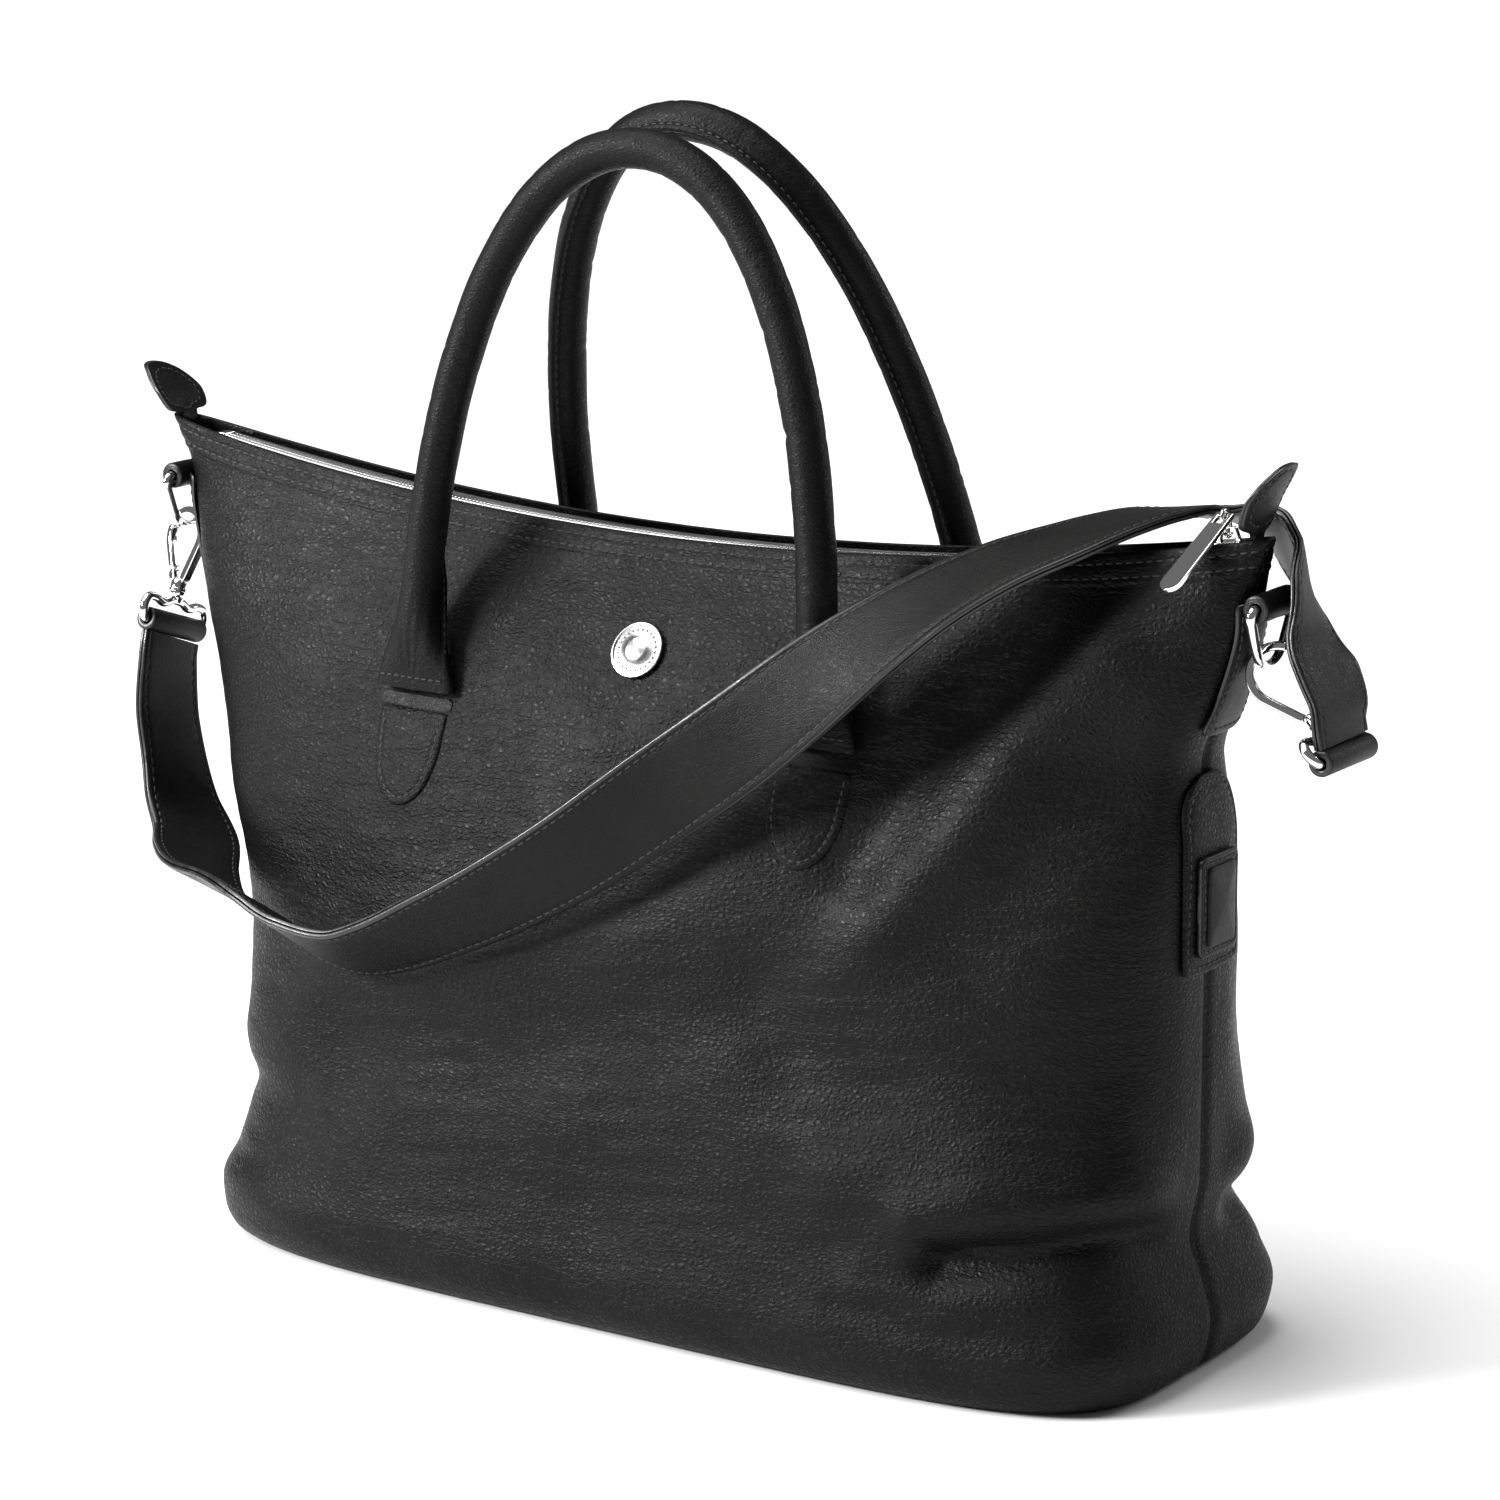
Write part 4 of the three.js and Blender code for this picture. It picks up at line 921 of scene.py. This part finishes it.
# ------------------------------------------------------------------ zip
def build_zip():
    for name, sign in (("front", -1), ("back", 1)):
        row = Build()
        pitch = 1.8
        count = int((ZIP_RIGHT - 4 - ZIP_LEFT) / pitch)
        for i in range(count):
            s = ZIP_LEFT + pitch * (i + (0.5 if sign > 0 else 0))
            z = lip_height(s) - ZIP_DROP
            slope = s / ZIP_RADIUS
            # a waisted tooth: a wide foot on the tape and a narrow head on the middle line
            outline = [(-0.62, 3.4), (0.62, 3.4), (0.62, 1.9), (0.42, 1.3), (0.6, 0.4), (0.35, -0.5),
                       (-0.35, -0.5), (-0.6, 0.4), (-0.42, 1.3), (-0.62, 1.9)]
            rings = []
            for scale, up in ((0.8, -1.25), (1, -0.95), (1, 0.95), (0.8, 1.25)):
                rings.append([
                    (MOUTH_MIDDLE + s + a * scale, sign * (1.45 + (b - 1.45) * scale), z + a * slope + up)
                    for a, b in outline
                ])
            row.grid(rings, wrap_columns=True, caps=True)
        teeth = f"zip_teeth_{name}"
        make(f"{name}_zip_teeth", row, [TEETH], teeth, [teeth], sharp=35)

        tape = Build()
        s = np.linspace(ZIP_LEFT - 6, ZIP_RIGHT, 160)
        z = lip_height(s) - ZIP_DROP
        u = np.minimum(1, np.abs(s) / (MOUTH_HALF - WALL - 4))
        far = np.maximum(4.3, (MOUTH_DEPTH - WALL - 0.6) * (1 - u**3.2) ** (1 / 3.2))
        rows = []
        for t, up in ((0, -0.4), (1, -0.4), (1, 0.4), (0.66, 0.42), (0.33, 0.4), (0.1, 0.5), (0, 0.45)):
            rows.append(np.stack([MOUTH_MIDDLE + s, sign * (3.7 + t * (far - 3.7)), z + up], -1))
        tape.grid(np.array(rows).transpose(1, 0, 2), wrap_columns=True, caps=True)
        make(f"{name}_zip_tape", tape, [TAPE], f"zip_tape_{name}", [f"zip_tape_{name}"])
    refine("zip_stop", "zip_end_stop", TEETH, 0.5)
    refine("zip_slider", "slider", CHROME, 0.45)
    refine("zip_pull_link", "slider_link", CHROME, rounds=2)
    refine("zip_pull", "slider_pull", CHROME, 0.4)


# ------------------------------------------------------------------ handles
def handle_point(handle, t):
    c, s = np.cos(t), np.sin(t)
    z = handle["rise"] * np.abs(s) ** (2 / 2.3)
    x = handle["middle"] + HANDLE_SPAN * np.sign(c) * np.abs(c) ** (2 / 2.1)
    y = handle["sign"] * (handle["depth"] - handle["lean"] * z)
    return np.stack([x + handle["drift"] * z, y, FOOT_HEIGHT + z], -1)


def build_handle(name):
    handle = HANDLES[name]
    sign = handle["sign"]
    start = math.asin((1 / handle["rise"]) ** (2.3 / 2))
    path = evenly(handle_point(handle, np.linspace(start, np.pi - start, 4000)), 1.6)
    run = along(path)
    t = tangents(path)
    plane = unit(np.array([0, -1, -sign * handle["lean"]]))
    f = sign * plane - (t @ (sign * plane))[:, None] * t  # towards the mouth
    f = unit(f)
    q = unit(np.cross(plane, t))
    height = path[:, 2] - FOOT_HEIGHT
    wide, deep, power = (np.interp(height, FOOT_ROWS[:, 0], FOOT_ROWS[:, k]) for k in (1, 2, 3))
    soften = np.convolve(np.pad(wide, 4, mode="edge"), np.ones(9) / 9, "valid")
    wide = np.where(height > 3, soften, wide)
    outward = np.where(run < run[-1] / 2, -1, 1)  # which way +X lies along q
    turn = outward * (np.pi / 2) * (1 - smoothstep(10, 58, height))
    delta = np.concatenate([
        [-0.34, -0.24, -0.19, -0.16, -0.13, -0.08, 0, 0.08, 0.13, 0.16, 0.19, 0.24, 0.34],
        np.linspace(0.5, np.pi - 0.3, 17), np.pi + np.array([-0.16, -0.08, 0, 0.08, 0.16]),
        np.linspace(np.pi + 0.3, 2 * np.pi - 0.5, 17),
    ])
    theta = turn[:, None] + delta
    p = power[:, None]
    body = np.abs(np.sin(theta) / wide[:, None]) ** p + np.abs(np.cos(theta) / deep[:, None]) ** p
    body = body ** (-1 / p)
    fin = (1.2 + 2.8 * smoothstep(14, 50, height))[:, None] * np.exp(-((delta / 0.165) ** 6))
    creases = np.zeros_like(body)
    for _ in range(150):
        at, middle, span = rng.uniform(8, run[-1] - 8), rng.uniform(0, 2 * np.pi), rng.uniform(0.5, 1.6)
        bend, deepness = rng.uniform(-2.5, 2.5), rng.uniform(0.1, 0.34)
        away = np.abs((theta - middle + np.pi) % (2 * np.pi) - np.pi)
        across = (run[:, None] - at - bend * np.cos(away)) / rng.uniform(0.9, 1.7)
        creases -= deepness * np.exp(-(across**2)) * smoothstep(span, span * 0.4, away)
    foot = smoothstep(2, 9, height) * (1 - smoothstep(24, 46, height))
    creases -= 0.5 * foot[:, None] * np.abs(np.sin(5.5 * theta + 0.04 * height[:, None])) ** 3
    swell = lumps(run[:, None], np.cos(theta) * 12, 5 + sign, 46) * 0.18
    reach = body + fin + (creases + swell) * np.minimum(1, deep / 8)[:, None]
    profile = np.stack([np.cos(theta) * reach, np.sin(theta) * reach], -1)
    build = Build()
    sweep(build, path, f, q, profile)

    # the stitches through the fin, and a row across each foot
    on = height > 12
    for face_side in (-1, 1):
        angle = turn[on] + face_side * 0.145
        radius = np.interp(height[on], [12, 50], [0.9, 1.0]) * (body[on, 6] + 1.9)
        way = np.cos(turn[on])[:, None] * f[on] + np.sin(turn[on])[:, None] * q[on]
        side = -np.sin(turn[on])[:, None] * f[on] + np.cos(turn[on])[:, None] * q[on]
        place = path[on] + way * radius[:, None] + side * (face_side * 1.45)
        stitches(build, place, side * face_side, pitch=3.8, length=2.9, radius=0.4, kind=1)
    for index in (3, len(path) - 4):
        row = np.linspace(-15.5, 15.5, 40)
        reach_out = np.interp(np.abs(row), [0, 13, 15.5],
                              [deep[index], deep[index] - 0.05, deep[index] - 0.5])
        place = path[index] + row[:, None] * q[index] - (reach_out + 0.05)[:, None] * f[index]
        inward = np.broadcast_to(-f[index], place.shape)
        stitches(build, place, inward, pitch=3.6, length=2.7, radius=0.4, kind=1)
    nodes = [f"{name}_{part}" for part in
             ("handle_cover", "handle_core", "left_handle_foot", "right_handle_foot")]
    obj = make(f"{name}_handle", build, [HANDLE_LEATHER, THREAD], None, nodes, sharp=60)
    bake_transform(obj)

    place = face(sign)
    for side, way in SIDES.items():
        middle = handle["middle"] + way * HANDLE_SPAN
        slit = Build()
        outline = rounded_rect(18.6, 2.4, 1.8) + (middle, FOOT_HEIGHT - 4.2)
        plaque(slit, outline, (middle, FOOT_HEIGHT - 4.2), place, 0.9, -0.5, 0.4, kind=0)
        make(f"{name}_{side}_slot", slit, [SMOOTH], f"{name}_{side}_slot_welt",
             [f"{name}_{side}_slot_welt"])
        shield = Build()
        corners = [(-17, -7.5), (-16.9, -16), (-16.4, -24), (-14.6, -31), (-11.6, -37), (-7, -42), (0, -44.4),
                   (7, -42), (11.6, -37), (14.6, -31), (16.4, -24), (16.9, -16), (17, -7.5)]
        lower = evenly(centripetal(corners, 8), 1.6)
        upper = np.stack([np.linspace(17, -17, 22)[1:-1], np.full(20, -7.2)], -1)
        outline = np.concatenate([lower, upper]) + (middle, FOOT_HEIGHT)
        centre = (middle, FOOT_HEIGHT - 22)
        plaque(shield, outline, centre, place, 1.6, -0.6, 1.3, crown=0.5, groove=3.0)
        sewn = inset(lower + (middle, FOOT_HEIGHT), centre, 3.0)
        points = place(sewn[:, 0], sewn[:, 1], 0.75)
        stitches(shield, points, np.broadcast_to((0, sign, 0.25), points.shape), pitch=3.4, length=2.5,
                 radius=0.42, kind=1)
        make(f"{name}_{side}_shield", shield, [PEBBLED, THREAD], f"{name}_panel", sharp=60)


# ------------------------------------------------------------------ medallion
def build_medallion():
    place = face(-1)
    x, z = np.array([MEDALLION_X]), np.array([MEDALLION_HEIGHT])
    seat = place(x, z, 0.0)[0]
    rise = place(x, z + 10, 0.0)[0] - place(x, z - 10, 0.0)[0]
    normal = unit(np.cross(rise, (-1, 0, 0)))
    normal = normal if normal[1] < 0 else -normal
    base = seat + normal * 0.7
    r = MEDALLION_RADIUS
    build = Build()
    lathe(build, [(0, 0), (r - 0.2, 0), (r, 0.3), (r, 1.0), (r - 0.25, 1.4), (r - 0.8, 1.55), (r - 1.3, 1.35),
                  (r - 1.6, 0.95), (r - 3.6, 1.15), (5.6, 1.5), (4.9, 1.95), (4.2, 2.1), (2.4, 2.35),
                  (1, 2.5), (0, 2.52)], base, normal, 72)
    side = unit(np.cross(normal, (0, 0, 1)))
    other = np.cross(normal, side)
    for k in range(24):
        a = 2 * math.pi * k / 24
        centre = base + (r - 3.1) * (math.cos(a) * side + math.sin(a) * other) + normal * 1.15
        bead = [(0.62 * math.sin(b), 0.55 * math.cos(b)) for b in np.linspace(0, math.pi, 7)]
        lathe(build, bead, centre, normal, 10)
    make("medallion_disc", build, [NICKEL], "medallion", ["medallion"], sharp=40)


# ------------------------------------------------------------------ end fittings
def sewn_patch(build, outline, centre, place, thick, base, bevel, crown=0.0, stitch=3.0,
               kinds=(0, 1, 2), pitch=3.6):
    plaque(build, outline, centre, place, thick, base, bevel, crown, kinds[0], kinds[1], groove=stitch)
    sewn = inset(outline, centre, stitch)
    points = place(sewn[:, 0], sewn[:, 1], base + thick - 0.2)
    normal = normals_of(place, sewn[:, 0], sewn[:, 1], base + thick)
    stitches(build, points, normal, pitch=pitch, length=pitch * 0.74, radius=0.4, kind=kinds[2], closed=True)


def outline_of(rows, smooth=6):
    """An outline from rows of height and half width, from the bottom up one side and down the other."""
    right = [(half, z) for z, half in rows]
    left = [(-half, z) for z, half in reversed(rows)]
    return evenly(centripetal(right + left, smooth, closed=True), 1.5, closed=True)


def build_end(name):
    side = SIDES[name]
    place = end_face(side)
    fitting_materials = [SMOOTH, PAINT, THREAD]

    tab_x = (LEVELS[-1, 1] if side < 0 else LEVELS[-1, 2]) - side * (WALL + 6)
    rises, outs, _ = np.array(ZIP_TABS[name]).T

    def tab_place(y, rise, out):
        x = tab_x + side * (np.interp(rise, rises, outs) - 2.5 * (y / 13.5) ** 2 * 0.9 + out)
        return np.stack(np.broadcast_arrays(x, y, TOP + rise), -1)

    middle = (0, (rises[2] + rises[-1]) / 2)
    tab = Build()
    top = rises[-1]
    shape = [(-2.6, 3.2), (0.6, 3.6), (rises[2] + 0.3, 11.4), (rises[3], 13.4),
             ((rises[3] + rises[4]) / 2, 12.2), (rises[4], 9.2), (top - 1.2, 4.6)]
    outline = outline_of(shape)
    plaque(tab, outline, middle, tab_place, 1.25, 1.35, 0.4, kind=0, edge=1, groove=2.8)
    plaque(tab, outline, middle, lambda y, z, out: tab_place(y, z, -out), 1.25, -1.25, 0.4,
           kind=0, edge=1, groove=2.8)
    for out, way in ((2.45, 1), (0.12, -1)):
        sewn = inset(outline, middle, 2.8)
        sewn = sewn[sewn[:, 1] > rises[2] - 0.5]
        sewn = sewn[np.argsort(np.arctan2(sewn[:, 0], -(sewn[:, 1] - middle[1])))]
        points = tab_place(sewn[:, 0], sewn[:, 1], out)
        stitches(tab, points, np.broadcast_to((side * way, 0, 0.3), points.shape), pitch=3.2, length=2.4,
                 radius=0.38, kind=2)
    make(f"{name}_mouth_tab", tab, fitting_materials, f"{name}_zip_tab",
         [f"{name}_zip_tab"])

    chape = Build()
    x = ROLL_X[name]
    r, half = ROLL_RADIUS, ROLL_HALF
    profile = [(RING_WIRE + 0.6, -half + 0.2), (RING_WIRE + 1, -half), (r - 0.9, -half),
               (r - 0.3, -half + 0.3), (r, -half + 1), (r, -4), (r - 0.12, 0), (r, 4), (r, half - 1),
               (r - 0.3, half - 0.3), (r - 0.9, half),
               (RING_WIRE + 1, half), (RING_WIRE + 0.6, half - 0.2)]
    marks = [1, 1, 1, 0, 0, 0, 0, 0, 0, 1, 1, 1, 0]
    lathe(chape, profile, (x, 0, ROLL_HEIGHT), (0, 1, 0), 40, marks, closed=True)
    for k in (-1, 1):  # the plies of the rolled leather show at the ends
        for radius in (3.6, 4.5):
            ring = np.array([(x + radius * math.cos(a), k * (half + 0.02), ROLL_HEIGHT + radius * math.sin(a))
                             for a in np.linspace(0, 2 * math.pi, 28, endpoint=False)])
            wire(chape, ring, (0, 1, 0), 0.14, 5, 1)
    tail = outline_of([(254.2, 12.8), (256, 13.4), (265, 12.5), (290, 11), (303, 10.8), (304.5, 10.2)])
    sewn_patch(chape, tail, (0, 279), place, 1.5, 1.5, 0.5, stitch=2.6)
    make(f"{name}_ring_chape", chape, fitting_materials, f"{name}_chape", [f"{name}_chape"])

    tab = Build()
    rows = [(162, 19), (163.2, 20.3), (166, 20.6), (210, 20.5), (226, 18.8), (234, 13), (237, 6)]
    sewn_patch(tab, outline_of(rows), (0, 200), place, 1.7, 0.6, 1.2, stitch=3.2)
    make(f"{name}_end_tab", tab, [PEBBLED, PEBBLED, THREAD], f"{name}_side_tab",
         [f"{name}_side_tab"], sharp=60)

    pad = Build()
    outline = rounded_rect(14.4, 19.4, 3.2, 5) + (0, 187.5)
    outline = evenly(outline, 1.5, closed=True)
    sewn_patch(pad, outline, (0, 187.5), place, 2.1, 2.6, 0.8, stitch=2.6)
    inner = evenly(rounded_rect(10.4, 15.4, 1.8, 4) + (0, 187.5), 1.5, closed=True)
    plaque(pad, inner, (0, 187.5), place, 1.0, 4.6, 0.7, crown=0.9, kind=0, edge=0)
    obj = make(f"{name}_end_pad", pad, fitting_materials, f"{name}_side_pad",
               [f"{name}_side_pad"])

    ring = Build()
    ring_half, low = half + 3, 8.6
    right = [(ring_half - 3, 0), (ring_half - 0.8, -0.9), (ring_half, -3), (ring_half - 1.2, -6)]
    for k in range(5):
        a = -0.35 * math.pi * k / 4 - 0.15 * math.pi
        right.append((low * math.cos(a) + 1.5 * (1 - k / 4), -RING_DROP + low * (1 + math.sin(a))))
    loop = right + [(-y, z) for y, z in reversed(right[:-1])]
    path = centripetal([(0, y, z) for y, z in loop], 6, closed=True)
    wire(ring, path, (1, 0, 0), RING_WIRE, 16)
    ring.place(Matrix.Translation((x, 0, ROLL_HEIGHT)) @ Matrix.Rotation(-RING_LEAN[name], 4, "Y"))
    make(f"{name}_strap_ring", ring, [CHROME], f"{name}_ring", [f"{name}_ring"])


# ------------------------------------------------------------------ snap hooks and eyes
def hook_matrix(name, which):
    about_x, about_y, *turns = HOOK_POSE[name]
    hang = Matrix.Rotation(about_x, 4, "X") @ Matrix.Rotation(about_y, 4, "Y")
    hooked = hang @ Matrix.Rotation(turns[0], 4, "Z")
    held = hooked @ Vector(WIRE_IN_HOOK)
    lean = RING_LEAN[name]
    foot = Vector((ROLL_X[name] + RING_DROP * math.sin(lean), 0,
                   ROLL_HEIGHT - RING_DROP * math.cos(lean)))
    return Matrix.Translation(foot - held) @ hang @ Matrix.Rotation(turns[which], 4, "Z")


def teardrop_line():
    """The rim's middle line, from the tip up the left side, over the top and down the right."""
    r = HOOK_INNER + HOOK_RIM / 2
    arc = [(r * math.cos(a), 0, r * math.sin(a) - HOOK_ROUND) for a in np.linspace(math.pi + 0.35, -0.35, 60)]
    tip = NECK_END + 6.3
    left = [(-2.6, 0, tip), (-3.6, 0, tip + 1.6)]
    right = [(3.6, 0, tip + 1.6), (2.6, 0, tip)]
    return evenly(np.array(left + arc + right), 0.5)


def rim(build, path, kind=0, slim=0.0):
    t = tangents(path)
    u = unit(np.cross(t, (0, 1, 0)))
    section = rounded_rect(HOOK_RIM / 2 - slim, HOOK_THICK / 2 - slim, 0.75, 3)
    ends = np.array([0.72, 0.92] + [1.0] * (len(path) - 4) + [0.92, 0.72])
    sweep(build, path, u, (0, 1, 0), section * ends[:, None, None], kind)


def build_hook(name):
    line = teardrop_line()
    gate = (line[:, 0] > 1.2) & (line[:, 2] > -21.4) & (line[:, 2] < -3.0)
    space = (line[:, 0] > 1.2) & (line[:, 2] > -22.2) & (line[:, 2] < -2.1)
    first, last = np.flatnonzero(space)[[0, -1]]
    body = Build()
    rim(body, line[:first])
    rim(body, line[last + 1:])
    lathe(body, [(0, NECK_END + 7.4), (2.6, NECK_END + 7.2), (3.5, NECK_END + 6), (3.6, NECK_END + 1),
                 (3.3, NECK_END + 0.2), (2.1, NECK_END + 0.1), (2.1, NECK_END + 2.6), (0, NECK_END + 2.6)],
          (0, 0, 0), (0, 0, 1), 28)
    lathe(body, [(3.5, NECK_END + 1.6), (4.0, NECK_END + 1.9), (4.0, NECK_END + 2.9), (3.5, NECK_END + 3.2)],
          (0, 0, 0), (0, 0, 1), 28, closed=True)
    hooked = hook_matrix(name, 0)
    body.place(hooked)
    make(f"{name}_snap_hook", body, [CHROME], f"{name}_hook_body", [f"{name}_hook_body"], sharp=40)

    leaf = Build()
    path = line[gate]
    rim(leaf, path, slim=0.12)
    pivot = [(0, -1.1), (1.7, -1.1), (1.9, -0.9), (1.9, 0.2), (1.7, 0.4), (0, 0.4)]
    lathe(leaf, pivot, (5, 0, -24.6), (0, 1, 0), 24)
    lower = path[-1]
    neck = evenly(np.array([lower + (0, 0, 1.5), (6.2, -0.35, -22.6), (5, -0.35, -24.6)]), 0.5)
    t = tangents(neck)
    sweep(leaf, neck, unit(np.cross(t, (0, 1, 0))), (0, 1, 0), rounded_rect(1.4, 0.75, 0.3, 2))
    leaf.place(hooked)
    make(f"{name}_snap_gate", leaf, [CHROME], f"{name}_hook_gate", [f"{name}_hook_gate"], sharp=40)
    refine(f"{name}_gate_pin", f"{name}_snap_pin", CHROME, 0.2)
    refine(f"{name}_gate_spring", f"{name}_snap_spring", CHROME, 0.1)

    eye = Build()
    half = STRAP_WIDTH / 2 + 2.6
    right = [(3, 10), (9, 8.2), (15, 9.6), (half - 2, 9), (half, 5.6), (half - 0.6, 2), (half - 3, 0)]
    loop = right + [(-y, z) for y, z in reversed(right)]
    path = centripetal([(0, y, EYE_BAR + z) for y, z in loop], 6, closed=True)
    wire(eye, path, (1, 0, 0), 2.0, 16)
    lathe(eye, [(0, NECK_END + 4.6), (2.2, NECK_END + 4.6), (2.4, NECK_END + 4.3), (2.4, NECK_END + 3),
                (1.6, NECK_END + 2.8), (1.6, NECK_END - 0.4), (2.7, NECK_END - 0.5), (3.2, NECK_END - 1),
                (3.0, EYE_BAR + 11), (2.4, EYE_BAR + 9.4), (0, EYE_BAR + 9)], (0, 0, 0), (0, 0, 1), 28)
    eye.place(hook_matrix(name, 1))
    make(f"{name}_swivel_eye", eye, [CHROME], f"{name}_strap_eye", [f"{name}_strap_eye"], sharp=40)

    wrap = Build()
    half = STRAP_WIDTH / 2
    profile = [(2.6, -half + 0.2), (2.9, -half), (4.4, -half), (4.85, -half + 0.4), (5, -half + 1),
               (5, half - 1), (4.85, half - 0.4), (4.4, half), (2.9, half), (2.6, half - 0.2)]
    lathe(wrap, profile, (0, 0, EYE_BAR), (0, 1, 0), 40, [1, 1, 1, 0, 0, 0, 1, 1, 1, 0], closed=True)
    wrap.place(hook_matrix(name, 1))
    make(f"{name}_strap_wrap", wrap, [SMOOTH, PAINT], f"{name}_strap_fold",
         [f"{name}_strap_fold"])


# ------------------------------------------------------------------ shoulder strap
def strap_line():
    rows = [(np.array(r[:3], float), unit(r[3:])) for r in STRAP_ROUTE]
    for name, at in (("left", 0), ("right", None)):
        m = hook_matrix(name, 1)
        middle = np.array(m @ Vector((0, 0, EYE_BAR)))
        bar_way = np.array(m.to_3x3() @ Vector((0, 1 if name == "left" else -1, 0)))
        near = rows[0 if at == 0 else -1][0]
        away = near - middle
        away = unit(away - (away @ bar_way) * bar_way)
        ends = [(middle + d * away, bar_way) for d in (5.4, 12)]
        rows = ends + rows if at == 0 else rows + ends[::-1]
    line = centripetal([r[0] for r in rows], 20)
    wides = centripetal([r[1] for r in rows], 20)
    return evenly(line, 2.2, wides)


def build_strap():
    line, wide = strap_line()
    t = tangents(line)
    wide = unit(wide - (wide * t).sum(-1, keepdims=True) * t)
    out = -np.cross(t, wide)
    run = along(line)
    half = STRAP_WIDTH / 2
    section = np.array([
        (-half + 0.5, 0.12), (half - 0.5, 0.12), (half - 0.08, 0.35), (half, 0.9), (half - 0.1, 1.4),
        (half - 0.6, 1.8), (half - 1.6, 1.93), (half - 2.5, 1.9), (half - 3.2, 1.68), (half - 3.9, 1.9),
        (half - 6, 2.0), (6, 2.05), (0, 2.05), (-6, 2.05), (-half + 6, 2.0), (-half + 3.9, 1.9),
        (-half + 3.2, 1.68), (-half + 2.5, 1.9),
        (-half + 1.6, 1.93), (-half + 0.6, 1.8), (-half + 0.1, 1.4), (-half, 0.9), (-half + 0.08, 0.35),
    ])
    marks = [0, 1, 1, 1, 1] + [0] * 13 + [1] * 5
    sewn = Build()
    for name, layer in (("face", 1), ("backing", -1)):
        build = Build()
        profile = np.repeat(section[None], len(line), 0) * (1, layer)
        ripple = lumps(run[:, None], profile[:, :, 0] * 1.5, 40 + layer, 34) * 0.1
        inner = (np.abs(profile[..., 0]) < half - 3) & (np.abs(profile[..., 1]) > 1)
        profile[..., 1] += ripple * inner
        sweep(build, line, wide, out, profile, kinds=marks)
        make(f"shoulder_strap_{name}", build, [SMOOTH, PAINT], f"strap_{name}",
                          [f"strap_{name}"])
        for edge in (-1, 1):
            path = line + wide * (edge * (half - 3.2)) + out * (layer * 1.68)
            stitches(sewn, path[4:-4], out[4:-4] * layer, pitch=4.2, length=3.2, radius=0.4)
    thread_piece = make("shoulder_strap_stitching", sewn, [THREAD], "strap_face")


# ------------------------------------------------------------------ the whole bag
NODE_SLOT = {part["node"]: part["material_slot"] for part in frame["record"]["subparts"]}
for node in frame["nodes"].values():
    for material_slot in node.material_slots:
        material_slot.material = SLOT_MATERIAL[NODE_SLOT[node.name]]

build_shell("front", -1)
build_shell("back", 1)
build_zip()
build_handle("front")
build_handle("back")
build_medallion()
for end in SIDES:
    build_end(end)
    build_hook(end)
build_strap()
